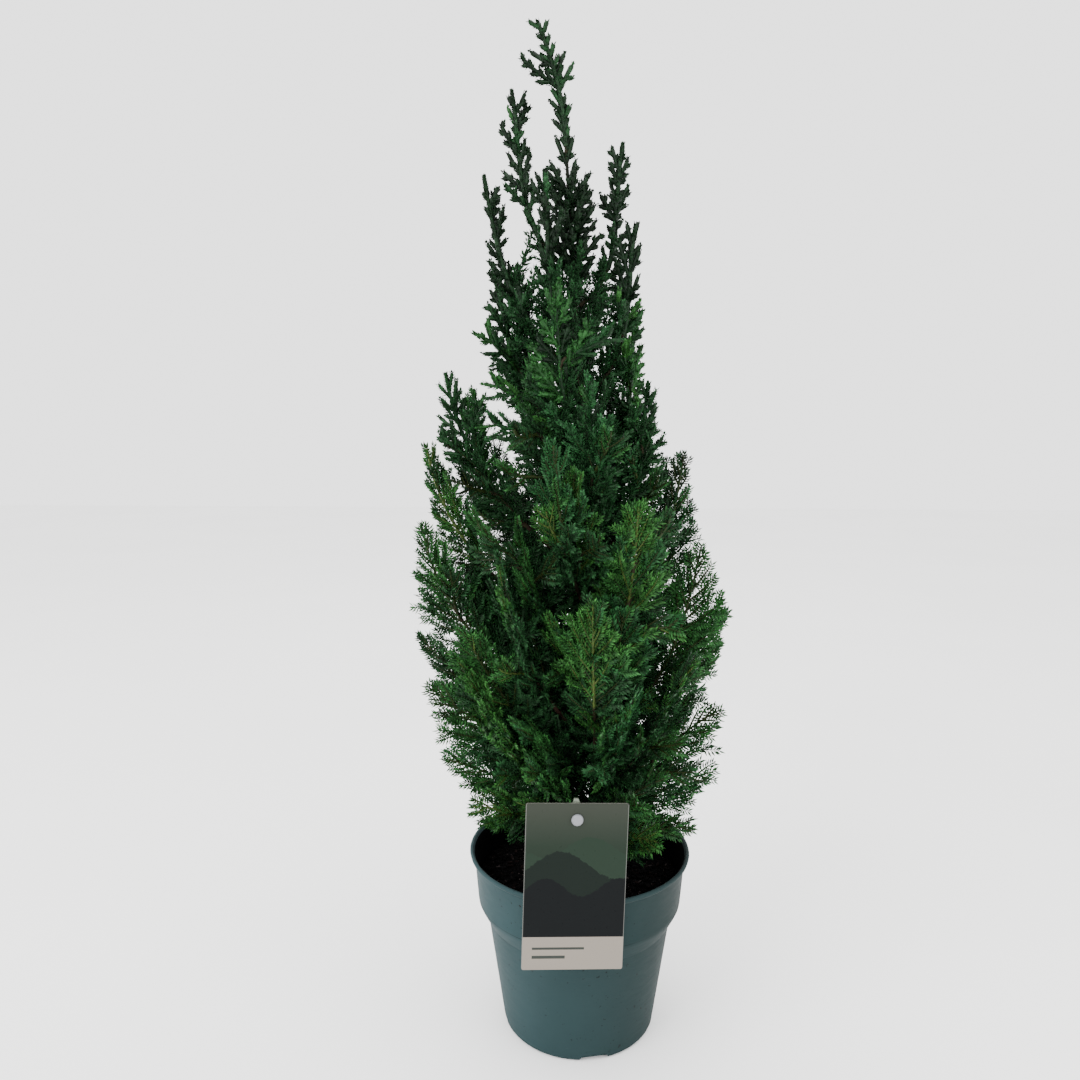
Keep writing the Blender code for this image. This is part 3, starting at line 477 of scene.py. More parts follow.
def noise_field(material, place, scale, detail=4.0, roughness=0.55, stretch=None):
    """Noise over the piece, finer with a larger scale and drawn out by stretch."""
    nodes = material.node_tree.nodes
    if stretch:
        mapping = nodes.new("ShaderNodeMapping")
        mapping.inputs["Scale"].default_value = stretch
        link(material, place, mapping.inputs["Vector"])
        place = mapping.outputs["Vector"]
    field = nodes.new("ShaderNodeTexNoise")
    field.inputs["Scale"].default_value = scale
    field.inputs["Detail"].default_value = detail
    field.inputs["Roughness"].default_value = roughness
    link(material, place, field.inputs["Vector"])
    return field.outputs["Fac"]


def ramp(material, value, stops):
    """Colours between the stops of (position, colour)."""
    made = material.node_tree.nodes.new("ShaderNodeValToRGB")
    elements = made.color_ramp.elements
    while len(elements) < len(stops):
        elements.new(0.5)
    for element, (position, colour) in zip(elements, stops):
        element.position = position
        element.color = (*colour, 1.0)
    link(material, value, made.inputs["Fac"])
    return made.outputs["Color"]


def math_node(material, operation, first, second=None, third=None):
    made = material.node_tree.nodes.new("ShaderNodeMath")
    made.operation = operation
    for socket, value in zip(made.inputs, (first, second, third)):
        if isinstance(value, (int, float)):
            socket.default_value = value
        elif value is not None:
            link(material, value, socket)
    return made.outputs["Value"]


def mix_colour(material, share, first, second):
    """The second colour over the first, by a share from 0 to 1."""
    made = material.node_tree.nodes.new("ShaderNodeMix")
    made.data_type = "RGBA"
    link(material, share, made.inputs[0])
    for socket, value in ((made.inputs[6], first), (made.inputs[7], second)):
        if isinstance(value, tuple):
            socket.default_value = (*value, 1.0)
        else:
            link(material, value, socket)
    return made.outputs[2]


def map_range(material, value, low, high, to_low, to_high):
    made = material.node_tree.nodes.new("ShaderNodeMapRange")
    for name, number in (("From Min", low), ("From Max", high), ("To Min", to_low), ("To Max", to_high)):
        made.inputs[name].default_value = number
    link(material, value, made.inputs["Value"])
    return made.outputs["Result"]


def paint(material, shader, colour, roughness=None):
    """Links the colour to the shader, and the roughness where it varies."""
    link(material, colour, shader.inputs["Base Color"])
    if roughness is not None:
        link(material, roughness, shader.inputs["Roughness"])


def parts_of(material, place):
    """The X, Y and Z of a place, each as a value of its own."""
    made = material.node_tree.nodes.new("ShaderNodeSeparateXYZ")
    link(material, place, made.inputs["Vector"])
    return made.outputs["X"], made.outputs["Y"], made.outputs["Z"]


def bump(material, shader, height, distance, strength=1.0):
    made = material.node_tree.nodes.new("ShaderNodeBump")
    made.inputs["Distance"].default_value = distance
    made.inputs["Strength"].default_value = strength
    link(material, height, made.inputs["Height"])
    link(material, made.outputs["Normal"], shader.inputs["Normal"])


def times(material, first, second):
    return math_node(material, "MULTIPLY", first, second)


def beyond(material, value, least):
    return math_node(material, "GREATER_THAN", value, least)


def short_of(material, value, most):
    return math_node(material, "LESS_THAN", value, most)


def shaded(colour, factor):
    return tuple(min(1.0, channel * factor) for channel in colour)


def needle_material(name, colour, painted_foot_shade=True):
    """A waxy green, lighter and darker from twig to twig, and on needles darker at their foot as painted
    shade.
    """
    made, shader, place = start_material(name, colour, 0.5, gloss=0.11)
    field = noise_field(made, place, 160.0, 3.0)
    single = noise_field(made, place, 620.0, 1.0)
    both = times(made, math_node(made, "ADD", field, single), 0.5)
    stops = [(0.36, shaded(colour, 0.45)), (0.50, shaded(colour, 1.1)), (0.64, shaded(colour, 2.2))]
    body = ramp(made, both, stops)
    if painted_foot_shade:
        # Painted shade: each needle darkens towards its foot, by the share along it that the needle pieces
        # carry
        reach = made.node_tree.nodes.new("ShaderNodeAttribute")
        reach.attribute_name = "reach"
        share = map_range(made, reach.outputs["Fac"], 0.0, 0.7, 0.12, 1.0)
        body = mix_colour(made, share, shaded(colour, 0.22), body)
    paint(made, shader, body, map_range(made, field, 0.3, 0.7, 0.58, 0.42))
    return made


def rachis_material(name, light):
    """The yellow-green skin of the axes, darker on the older ones."""
    made, shader, place = start_material(name, (0.085, 0.125, 0.022), 0.55, gloss=0.2)
    field = noise_field(made, place, 220.0, 3.0)
    colours = ((0.034, 0.056, 0.011), (0.064, 0.100, 0.018), (0.090, 0.090, 0.026))
    stops = [(at, shaded(colour, light)) for at, colour in zip((0.3, 0.55, 0.8), colours)]
    paint(made, shader, ramp(made, field, stops))
    return made


def bark_material(name, dark, middle, light, green_from=None):
    """Reddish bark in long thin plates with dark cracks, dark green where the stem is young."""
    made, shader, place = start_material(name, middle, 0.85, gloss=0.12)
    plates = noise_field(made, place, 260.0, 6.0, 0.65, stretch=(1.0, 1.0, 0.16))
    patches = noise_field(made, place, 42.0, 4.0)
    stops = [(0.30, dark), (0.50, middle), (0.72, light)]
    tint = map_range(made, patches, 0.35, 0.65, 0.0, 0.45)
    colour = mix_colour(made, tint, ramp(made, plates, stops), shaded(light, 0.8))
    if green_from:
        _, _, height = parts_of(made, place)
        young = map_range(made, height, green_from, green_from + 0.05, 0.0, 0.92)
        colour = mix_colour(made, young, colour, (0.0035, 0.0055, 0.0025))
    paint(made, shader, colour)
    bump(made, shader, plates, 0.0004, 0.8)
    return made


def pot_material():
    """Thin moulded plastic, satin, with a fine grain, faint scuffs and specks of soil; painted shade darkens
    its right side and thin lines along its creases.
    """
    made, shader, place = start_material("pot_plastic", POT_COLOUR, 0.50, gloss=0.04)
    cloud = noise_field(made, place, 22.0, 5.0, 0.6)
    body = ramp(made, cloud, [(0.3, shaded(POT_COLOUR, 0.90)), (0.7, shaded(POT_COLOUR, 1.08))])
    across, _, height = parts_of(made, place)
    # Painted shade, growing towards the pot's right side
    right_shade = map_range(made, across, -LIP_RADIUS, LIP_RADIUS, 0.0, 1.0)
    body = mix_colour(made, right_shade, body, POT_SHADE_RIGHT)
    # Painted shade: thin dark lines in the creases at the body's top and the collar's foot, each fading out
    # across the pot
    for line, thick, fade, share in (
        (BODY_TOP_HEIGHT - 0.0001, 0.00030, (BODY_CREASE_SHADE_FADE[1], BODY_CREASE_SHADE_FADE[0]), 0.70),
        (COLLAR_CREASE_HEIGHT, 0.00022, (COLLAR_CREASE_SHADE_FADE[1], COLLAR_CREASE_SHADE_FADE[0]), 0.60),
    ):
        crease_shade = math_node(made, "COMPARE", height, line, thick)
        strength = map_range(made, across, *fade, 0.0, share)
        body = mix_colour(made, times(made, crease_shade, strength), body, (0.003, 0.006, 0.006))
    lip = beyond(made, height, POT_HEIGHT - LIP_DEPTH)
    body = mix_colour(made, times(made, lip, 0.30), body, (0.020, 0.036, 0.038))
    scratches = noise_field(made, place, 90.0, 6.0, 0.7, stretch=(1.0, 1.0, 5.0))
    scuffed = beyond(made, scratches, 0.70)
    worn = times(made, scuffed, map_range(made, cloud, 0.45, 0.62, 0.0, 0.38))
    body = mix_colour(made, worn, body, (0.085, 0.115, 0.115))
    specks = noise_field(made, place, 420.0, 2.0, 0.5)
    dirt = beyond(made, specks, 0.700)
    dirty = times(made, dirt, map_range(made, cloud, 0.40, 0.60, 0.25, 1.0))
    body = mix_colour(made, dirty, body, (0.005, 0.005, 0.0045))
    paint(made, shader, body, map_range(made, scratches, 0.3, 0.7, 0.50, 0.58))
    grain = noise_field(made, place, 1500.0, 2.0)
    bump(made, shader, grain, 0.00006, 0.35)
    return made


def inner_wall_shade():
    """The inside of the pot above the soil, in painted shade: near black, with a few paler patches."""
    made, shader, place = start_material("inner_wall_painted_shade", (0.001, 0.0014, 0.0015), 0.8, gloss=0.01)
    field = noise_field(made, place, 130.0, 6.0, 0.7, stretch=(1.0, 1.0, 0.5))
    # Painted shade: near black, with a few paler patches
    deepest_shade, inner_shade, bare = (0.0004, 0.0004, 0.0005), (0.0008, 0.0010, 0.0011), (0.0060, 0.0085, 0.0090)
    stops = [(0.40, deepest_shade), (0.62, inner_shade), (0.80, bare)]
    paint(made, shader, ramp(made, field, stops))
    return made


def soil_material(name, dark, light, scale):
    made, shader, place = start_material(name, dark, 0.95, gloss=0.03)
    field = noise_field(made, place, scale, 8.0, 0.7)
    stops = [(0.35, shaded(dark, 0.5)), (0.55, dark), (0.72, light)]
    paint(made, shader, ramp(made, field, stops))
    bump(made, shader, field, 0.0008, 0.9)
    return made


def plain_plastic(name, colour, roughness, scale=700.0):
    """Smooth plastic with a slight unevenness in its colour and gloss."""
    made, shader, place = start_material(name, colour, roughness)
    field = noise_field(made, place, scale, 3.0)
    tint = ramp(made, field, [(0.3, shaded(colour, 0.93)), (0.7, shaded(colour, 1.05))])
    paint(made, shader, tint, map_range(made, field, 0.3, 0.7, roughness * 0.85, roughness * 1.2))
    return made


def give(piece, material):
    piece.data.materials.clear()
    piece.data.materials.append(material)
    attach(piece, "root")


# Modelling by hand


def deselect():
    for item in bpy.context.selected_objects:
        item.select_set(False)


def start_piece(name):
    """Names the primitive just added, and applies its place."""
    piece = bpy.context.object
    piece.name = name
    piece.data.name = name
    bpy.ops.object.transform_apply(location=True, rotation=True, scale=True)
    return piece


def edit_whole():
    """Goes into edit mode with the whole mesh selected."""
    bpy.ops.object.mode_set(mode="EDIT")
    bpy.ops.mesh.select_all(action="SELECT")


def close_edit():
    """Turns every face outwards and leaves edit mode."""
    bpy.ops.mesh.select_all(action="SELECT")
    bpy.ops.mesh.normals_make_consistent(inside=False)
    bpy.ops.object.mode_set(mode="OBJECT")


def pick(piece):
    """Selects one piece and nothing else."""
    deselect()
    bpy.context.view_layer.objects.active = piece
    piece.select_set(True)


def apply_modifiers(piece):
    pick(piece)
    for modifier in list(piece.modifiers):
        bpy.ops.object.modifier_apply(modifier=modifier.name)


def round_edges(piece, width, segments):
    edge = piece.modifiers.new("edge", "BEVEL")
    edge.width = width
    edge.segments = segments
    apply_modifiers(piece)


def cut_out(piece, cutter):
    """Cuts the shape of the cutter out of a piece, and removes the cutter."""
    cut = piece.modifiers.new("cut", "BOOLEAN")
    cut.operation = "DIFFERENCE"
    cut.object = cutter
    apply_modifiers(piece)
    bpy.data.objects.remove(cutter, do_unlink=True)


def smooth(piece, angle_deg):
    pick(piece)
    bpy.ops.object.shade_smooth_by_angle(angle=math.radians(angle_deg))
    piece.select_set(False)


def turned_shell(name, profile, sides):
    """A closed shell, drawn ring by ring along a profile of (radius, height)."""
    deselect()
    radius, height = profile[0]
    bpy.ops.mesh.primitive_circle_add(vertices=sides, radius=radius, location=(0.0, 0.0, height))
    piece = start_piece(name)
    edit_whole()
    bpy.ops.mesh.edge_face_add()
    for (radius, height), (wider, higher) in zip(profile, profile[1:]):
        bpy.ops.mesh.extrude_region_move(TRANSFORM_OT_translate={"value": (0.0, 0.0, higher - height)})
        bpy.ops.transform.resize(value=(wider / radius, wider / radius, 1.0))
    close_edit()
    return piece


def add_object(name, data):
    made = bpy.data.objects.new(name, data)
    bpy.context.scene.collection.objects.link(made)
    return made


def piece_from(name, points, faces):
    """A joined piece of many small things from arrays of points and of equal-sided faces."""
    mesh = bpy.data.meshes.new(name)
    count, sides = faces.shape
    mesh.vertices.add(len(points))
    mesh.vertices.foreach_set("co", points.astype(np.float32).ravel())
    mesh.loops.add(count * sides)
    mesh.loops.foreach_set("vertex_index", faces.astype(np.int32).ravel())
    mesh.polygons.add(count)
    mesh.polygons.foreach_set("loop_start", np.arange(0, count * sides, sides, dtype=np.int32))
    mesh.polygons.foreach_set("use_smooth", np.full(count, True))
    mesh.update(calc_edges=True)
    return add_object(name, mesh)


# Pot


def pot_profile():
    """Inside from the floor up to the lip, over it and down the outside to the underside."""
    wall = POT_WALL
    bead = 0.0010
    inner_lip = LIP_RADIUS - LIP_WALL
    inside = [
        (0.004, wall),
        (BASE_RADIUS - wall - 0.003, wall),
        (BASE_RADIUS - wall - 0.0008, wall + 0.0008),
        (BASE_RADIUS - wall, wall + 0.003),
        (BODY_TOP_RADIUS - wall, BODY_TOP_HEIGHT + 0.0004),
        (COLLAR_FOOT_RADIUS - wall, COLLAR_FOOT_HEIGHT + 0.0004),
        (COLLAR_TOP_RADIUS - wall, POT_HEIGHT - LIP_DEPTH - 0.0022),
        (COLLAR_TOP_RADIUS - wall + 0.0010, POT_HEIGHT - LIP_DEPTH - 0.0006),
        (inner_lip - 0.0006, POT_HEIGHT - LIP_DEPTH + 0.0012),
        (inner_lip, POT_HEIGHT - bead),
    ]
    over = []
    for middle, degrees in ((inner_lip + bead, (150, 120, 90)), (LIP_RADIUS - bead, (90, 60, 30, 0))):
        for turn in map(math.radians, degrees):
            over.append((middle + bead * math.cos(turn), POT_HEIGHT - bead + bead * math.sin(turn)))
    under_lip = POT_HEIGHT - LIP_DEPTH
    outside = [
        (LIP_RADIUS - 0.0003, under_lip + 0.0008),
        (LIP_RADIUS - 0.0011, under_lip),
        (COLLAR_TOP_RADIUS + 0.0006, under_lip - 0.0003),
        (COLLAR_TOP_RADIUS, under_lip - 0.0012),
        (COLLAR_FOOT_RADIUS + 0.0002, COLLAR_FOOT_HEIGHT + 0.0020),
        (COLLAR_FOOT_RADIUS - 0.0001, COLLAR_FOOT_HEIGHT),
        (COLLAR_FOOT_RADIUS - 0.0011, COLLAR_FOOT_HEIGHT - 0.0022),
        (BODY_TOP_RADIUS + 0.0003, BODY_TOP_HEIGHT + 0.0004),
        (BODY_TOP_RADIUS, BODY_TOP_HEIGHT),
    ]
    foot = [
        (BASE_RADIUS - BASE_ROUNDING * (1 - math.cos(a)), BASE_ROUNDING * (1 - math.sin(a)))
        for a in (math.radians(k) for k in (0, 15, 30, 45, 60, 75, 90))
    ]
    underside = [(0.0345, 0.0), (0.0338, 0.0006), (0.004, 0.0006)]
    return inside + over + outside + foot + underside


def make_pot():
    pot = turned_shell("nursery_pot", pot_profile(), POT_SIDES)
    for i in range(NOTCHES):
        deselect()
        turn = math.radians(FIRST_NOTCH_DEG + 360 * i / NOTCHES)
        bpy.ops.mesh.primitive_cube_add(size=1.0)
        cutter = bpy.context.object
        length = NOTCH_DEPTH + 0.010
        middle = BASE_RADIUS - NOTCH_DEPTH + length / 2
        size = Matrix.Diagonal((length, NOTCH_WIDTH, 2 * NOTCH_HEIGHT, 1.0))
        cutter.data.transform(size)
        for vertex in cutter.data.vertices:
            if vertex.co.z > 0:
                vertex.co.y *= NOTCH_TAPER
        cutter.data.transform(Matrix.Rotation(turn, 4, "Z") @ Matrix.Translation((middle, 0.0, 0.0)))
        round_edges(cutter, NOTCH_ROUNDING, 3)
        cut_out(pot, cutter)
    smooth(pot, 38)
    give(pot, pot_material())
    # The inner wall above the soil gets painted shade
    pot.data.materials.append(inner_wall_shade())
    for face in pot.data.polygons:
        x, y, z = face.center
        inward = face.normal.x * x + face.normal.y * y < 0
        face.material_index = 1 if inward and BASE_ROUNDING < z < POT_HEIGHT - LIP_DEPTH + 0.0014 else 0
    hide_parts("pot")


# Soil


def soil_level(radius):
    """The soil is a low mound, flat where the trunk stands."""
    share = np.clip((np.asarray(radius) - SOIL_FLAT_RADIUS) / (SOIL_RADIUS - SOIL_FLAT_RADIUS), 0.0, 1.0)
    return SOIL_MIDDLE + (SOIL_EDGE - SOIL_MIDDLE) * share**SOIL_FALL


def soil_bumps(x, y):
    """How far clods and hollows lift the surface."""
    coarse = noise.noise(Vector((x * 90, y * 90, 3.1)))
    fine = noise.noise(Vector((x * 260, y * 260, 7.7)))
    grain = noise.noise(Vector((x * 700, y * 700, 1.3)))
    return SOIL_ROUGHNESS * (0.7 * coarse + 0.45 * fine + 0.2 * grain)


def make_soil():
    deselect()
    bpy.ops.mesh.primitive_grid_add(x_subdivisions=SOIL_GRID, y_subdivisions=SOIL_GRID, size=2 * SOIL_RADIUS)
    soil = start_piece("potting_soil")
    work = bmesh.new()
    work.from_mesh(soil.data)
    outside = [v for v in work.verts if math.hypot(v.co.x, v.co.y) > SOIL_RADIUS]
    bmesh.ops.delete(work, geom=outside, context="VERTS")
    for vertex in work.verts:
        radius = math.hypot(vertex.co.x, vertex.co.y)
        lift = soil_bumps(vertex.co.x, vertex.co.y)
        off_trunk = clamp((radius - CALM_RADIUS) / CALM_FADE)
        vertex.co.z = float(soil_level(radius)) + lift * (0.3 + 0.7 * off_trunk)
    work.to_mesh(soil.data)
    work.free()
    edit_whole()
    bpy.ops.mesh.region_to_loop()
    bpy.ops.mesh.extrude_region_move(TRANSFORM_OT_translate={"value": (0.0, 0.0, -SOIL_SKIRT)})
    bpy.ops.object.mode_set(mode="OBJECT")
    smooth(soil, 60)
    peat = soil_material("peaty_soil", (0.0008, 0.0007, 0.0008), (0.0030, 0.0024, 0.0024), 330.0)
    give(soil, peat)
    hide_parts("soil")


def lumps(count, draw, sizes, lengthen, material, name):
    """Small uneven lumps strewn over the soil, as one piece."""
    work = bmesh.new()
    bmesh.ops.create_icosphere(work, subdivisions=1, radius=1.0)
    ball = np.array([v.co[:] for v in work.verts])
    faces = np.array([[v.index for v in f.verts] for f in work.faces])
    work.free()
    radius = np.sqrt(draw.uniform(0.02, 1.0, count)) * (SOIL_RADIUS - LUMP_MARGIN)
    turn = draw.uniform(0, 2 * math.pi, count)
    x = radius * np.cos(turn)
    y = radius * np.sin(turn)
    lift = np.array([soil_bumps(a, b) for a, b in zip(x, y)])
    size = draw.uniform(*sizes, count)
    z = soil_level(radius) + lift + size * LUMP_RISE
    shape = np.stack([size * draw.uniform(*lengthen, count), size, size * LUMP_THICKNESS], axis=1)
    spin = draw.uniform(0, 2 * math.pi, count)
    rough = 1 + draw.uniform(-LUMP_ROUGHNESS, LUMP_ROUGHNESS, (count, len(ball)))
    local = ball[None] * rough[:, :, None] * shape[:, None, :]
    across = local[:, :, 0] * np.cos(spin)[:, None] - local[:, :, 1] * np.sin(spin)[:, None]
    along = local[:, :, 0] * np.sin(spin)[:, None] + local[:, :, 1] * np.cos(spin)[:, None]
    points = np.stack([across + x[:, None], along + y[:, None], local[:, :, 2] + z[:, None]], axis=2)
    every = faces[None] + (np.arange(count) * len(ball))[:, None, None]
    piece = piece_from(name, points.reshape(-1, 3), every.reshape(-1, 3))
    give(piece, material)


def make_crumbs():
    draw = np.random.default_rng(SEED)
    dark = soil_material("dark_crumbs", (0.0009, 0.0008, 0.0009), (0.0042, 0.0032, 0.0032), 500.0)
    lumps(CRUMBS, draw, (0.0004, 0.0014), (0.9, 1.5), dark, "soil_crumbs")
    rusty = soil_material("rusty_bark_chips", (0.0052, 0.0030, 0.0028), (0.0160, 0.0100, 0.0095), 420.0)
    lumps(CHIPS, draw, (0.0004, 0.0010), (1.5, 3.6), rusty, "bark_chips")
    pale = soil_material("pale_fibres", (0.030, 0.024, 0.023), (0.085, 0.070, 0.066), 420.0)
    lumps(CHIPS * 2 // 3, draw, (0.00030, 0.00070), (1.2, 4.0), pale, "pale_fibres")


# Trunk


def trunk_middle(height, sine=math.sin):
    """How far across and back the trunk's middle lies at a height, or at many with the sine of arrays."""
    share = (height - TRUNK_FOOT) / (TRUNK_TOP - TRUNK_FOOT)
    across = TRUNK_FOOT_ACROSS + TRUNK_DRIFT * share
    across += TRUNK_BOW * sine(math.pi * share) + TRUNK_SWAY * sine(2 * math.pi * share)
    return across, TRUNK_DEPTH_SWAY * sine(2 * math.pi * share)


def trunk_place(height):
    """The middle of the trunk at a height."""
    return Vector((*trunk_middle(height), height))


def trunk_radius(height):
    share = (height - TRUNK_FOOT) / (TRUNK_TOP - TRUNK_FOOT)
    taper = (TRUNK_RADIUS - TRUNK_TIP_RADIUS) * max(0.0, 1 - share) ** TRUNK_TAPER
    flare = FLARE * math.exp(-(height - TRUNK_FOOT) / FLARE_HEIGHT)
    return TRUNK_TIP_RADIUS + taper + flare


def bark_relief(place, turn, radius):
    """Upright plates and cracks, as a share of the radius."""
    ridge = noise.noise(Vector((math.cos(turn) * 3.2, math.sin(turn) * 3.2, place.z * 120)))
    flake = noise.noise(Vector((math.cos(turn) * 7.0, math.sin(turn) * 7.0, place.z * 320)))
    depth = min(BARK_RELIEF, 0.13 * radius)
    return depth * (ridge + 0.55 * flake)


def bark_tube(name, places, radii, sides):
    """A limb with the relief of its bark, drawn as a cylinder and shaped ring by ring."""
    deselect()
    bpy.ops.mesh.primitive_circle_add(vertices=sides, radius=1.0)
    piece = start_piece(name)
    edit_whole()
    bpy.ops.mesh.edge_face_add()
    for _ in places[1:]:
        bpy.ops.mesh.extrude_region_move(TRANSFORM_OT_translate={"value": (0.0, 0.0, 1.0)})
    bpy.ops.object.mode_set(mode="OBJECT")
    for vertex in piece.data.vertices:
        ring = round(vertex.co.z)
        turn = math.atan2(vertex.co.y, vertex.co.x)
        centre = places[ring]
        ahead = (places[min(ring + 1, len(places) - 1)] - places[max(ring - 1, 0)]).normalized()
        side, front = ring_sides(ahead)
        radius = radii[ring]
        if centre.z - TRUNK_FOOT < LOBE_HEIGHT:
            fade = 1 - (centre.z - TRUNK_FOOT) / LOBE_HEIGHT
            radius *= 1 + LOBE_DEPTH * math.sin(FLARE_LOBES * turn) * fade
        radius += bark_relief(centre, turn, radius)
        vertex.co = centre + leaning(side, front, turn) * radius
    edit_whole()
    close_edit()
    smooth(piece, 60)
    return piece


def make_trunk(bark):
    span = TRUNK_TOP + 0.002 - TRUNK_FOOT
    heights = [TRUNK_FOOT - 0.002 + span * (i / TRUNK_RINGS) for i in range(TRUNK_RINGS + 1)]
    places = [trunk_place(max(TRUNK_FOOT, h)) for h in heights]
    for place, height in zip(places, heights):
        place.z = height
    radii = [trunk_radius(max(TRUNK_FOOT, h)) for h in heights]
    trunk = bark_tube("trunk_bark", places, radii, TRUNK_SIDES)
    give(trunk, bark)
    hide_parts("trunk")


# Shoots, by the rule that the solids follow


def bend(start, first, second, end):
    """Points of a smooth bend from start to end, drawn towards two others."""
    points = []
    for i in range(PATH_POINTS):
        share = i / (PATH_POINTS - 1)
        rest = 1 - share
        drawn = first * 3 * rest**2 * share
        points.append(start * rest**3 + drawn + second * 3 * rest * share**2 + end * share**3)
    return points


def arrival(out, height):
    """The direction in which a shoot reaches its tip: low ones spread, high ones stand upright."""
    lean = min(LEAN_MOST, max(LEAN_LEAST, 1 - (height - LEVEL_BELOW) / UPRIGHT_OVER))
    return (out * lean + UP * (1.0 - lean)).normalized()


def root_height(tip):
    reach = math.hypot(tip.x, tip.y)
    rise = min(RISE_SHARE * (tip.z - SOIL_MIDDLE), RISE_MOST + RISE_FOR_REACH * (reach - USUAL_REACH))
    return tip.z - rise


def shoot_path(tip, start_height):
    """Points from the trunk's bark out to the tip: first outwards, then up."""
    middle = trunk_place(start_height)
    out = Vector((tip.x - middle.x, tip.y - middle.y, 0.0)).normalized()
    off = trunk_radius(start_height) + ROOT_CLEARANCE + BOUGH_RADIUS * math.sin(ROOT_SLOPE)
    root = middle + out * off
    span = (tip - root).length
    leave = leaning(out, UP, ROOT_SLOPE).normalized()
    arrive = arrival(out, tip.z)
    return bend(root, root + leave * ROOT_PULL * span, tip - arrive * TIP_PULL * span, tip)


def leader_path():
    start = trunk_place(TRUNK_TOP)
    tip = Vector(LEADER_TIP)
    span = (tip - start).length
    leave = (trunk_place(TRUNK_TOP) - trunk_place(TRUNK_TOP - 0.01)).normalized()
    first = start + leave * span * LEADER_PULLS[0]
    second = tip - Vector(LEADER_TIP_HEADING).normalized() * span * LEADER_PULLS[1]
    return bend(start, first, second, tip)


def closest(path, others):
    mine = np.array(path)[:, None, :]
    return min(float(np.linalg.norm(mine - np.array(other), axis=2).min()) for other in others)


def crown_reach(height, turn):
    """How far the crown reaches at a height, in the direction of a turn from +X."""
    left = at_height(height, LEFT_TIPS)
    right = at_height(height, RIGHT_TIPS)
    side = np.where(np.cos(turn) < 0, left, right)
    deep = at_height(height, BACK_DEPTH)
    return 1 / np.hypot(np.cos(turn) / side, np.sin(turn) / deep)


def named_tips():
    """(name, tip) of the shoots that make the crown's outline as seen from the front."""
    rows = []
    for side, sign, tips in (("left", -1, LEFT_TIPS), ("right", 1, RIGHT_TIPS)):
        for i, (height, reach) in enumerate(tips):
            depth = EDGE_DEPTH * (-1 if i % 2 else 1) * min(1.0, 0.100 / height + 0.4)
            rows.append((side, Vector((sign * reach, depth, height))))
    for (height, reach), across in zip(FRONT_TIPS, FRONT_ACROSS):
        rows.append(("front", Vector((across, -math.sqrt(reach**2 - across**2), height))))
    return rows


def add_fill(rows):
    """Shoots at even spacing on the sides where the named ones leave room."""
    for i in range(FILL_TRIES):
        height = FILL_HIGHEST + (FILL_LOWEST - FILL_HIGHEST) * i / (FILL_TRIES - 1)
        turn = i * TURN
        reach = FILL_REACH * float(crown_reach(height, turn))
        tip = Vector((reach * math.cos(turn), reach * math.sin(turn), height))
        apart = all((tip - other).length > FILL_SPACING for _, other in rows)
        if apart and len(rows) < MOST_SHOOTS - 1:
            rows.append(("fill", tip))
    return rows


def path_run(points):
    """The distance along a path from its first point to each of its points."""
    return np.concatenate([[0.0], np.cumsum(np.linalg.norm(np.diff(points, axis=0), axis=1))])


def plan_shoots():
    """Every shoot as a dictionary: its side, its path and how much of it is a bough."""
    shoots = [{"side": "leader", "path": leader_path()}]
    for side, tip in add_fill(named_tips()):
        best, best_clear = None, -1.0
        for shift in ROOT_SHIFTS:
            start = max(TRUNK_FOOT + LOWEST_ROOT, root_height(tip) + shift)
            path = shoot_path(tip, min(TRUNK_TOP - TOP_ROOT_BELOW_TIP, start))
            clear = closest(path, [s["path"] for s in shoots])
            if clear > best_clear:
                best, best_clear = path, clear
            if clear > STEM_CLEARANCE:
                break
        shoots.append({"side": side, "path": best})
    lengths = [0.0] + [path_run(np.array(shoot["path"]))[-1] for shoot in shoots[1:]]
    bough_length = max(BOUGH_FROM_LENGTH, sorted(lengths)[-MOST_BOUGHS])
    for index, shoot in enumerate(shoots):
        finish_shoot(shoot, index, BOUGH_SHARE if lengths[index] >= bough_length else 0.0)
    return shoots


def finish_shoot(shoot, index, bough_share):
    """Adds the lengths that the sprays are placed by."""
    shoot["index"] = index
    shoot["points"] = np.array(shoot["path"])
    shoot["run"] = path_run(shoot["points"])
    shoot["length"] = float(shoot["run"][-1])
    shoot["bough"] = bough_share * shoot["length"]


def branching_place(shoots, tip):
    """Where a plume to this tip best leaves a shoot: the nearest place that it leaves at an easy angle."""
    best, best_span = None, 1.0
    away = tip - trunk_place(tip.z)
    away.z = 0.0
    for shoot in shoots:
        for share in SIDE_SHARES:
            place, ahead = along(shoot, share * shoot["length"])
            reach = tip - place
            turned = ahead.angle(reach)
            easy = SIDE_ANGLES[0] < turned < SIDE_ANGLES[1]
            outward = reach.z > SIDE_LEAST_RISE and away.dot(reach) > 0
            if easy and outward and SIDE_SHORTEST < reach.length < best_span:
                best, best_span = (place, ahead), reach.length
    return best


def single_plumes(shoots):
    """The plumes that are placed one by one."""
    made = []
    for start, tip, tone in SINGLE_PLUMES:
        shoot = {"side": "front", "path": shoot_path(Vector(tip), start), "tone": tone}
        finish_shoot(shoot, len(shoots) + len(made), 0.0)
        made.append(shoot)
    return made


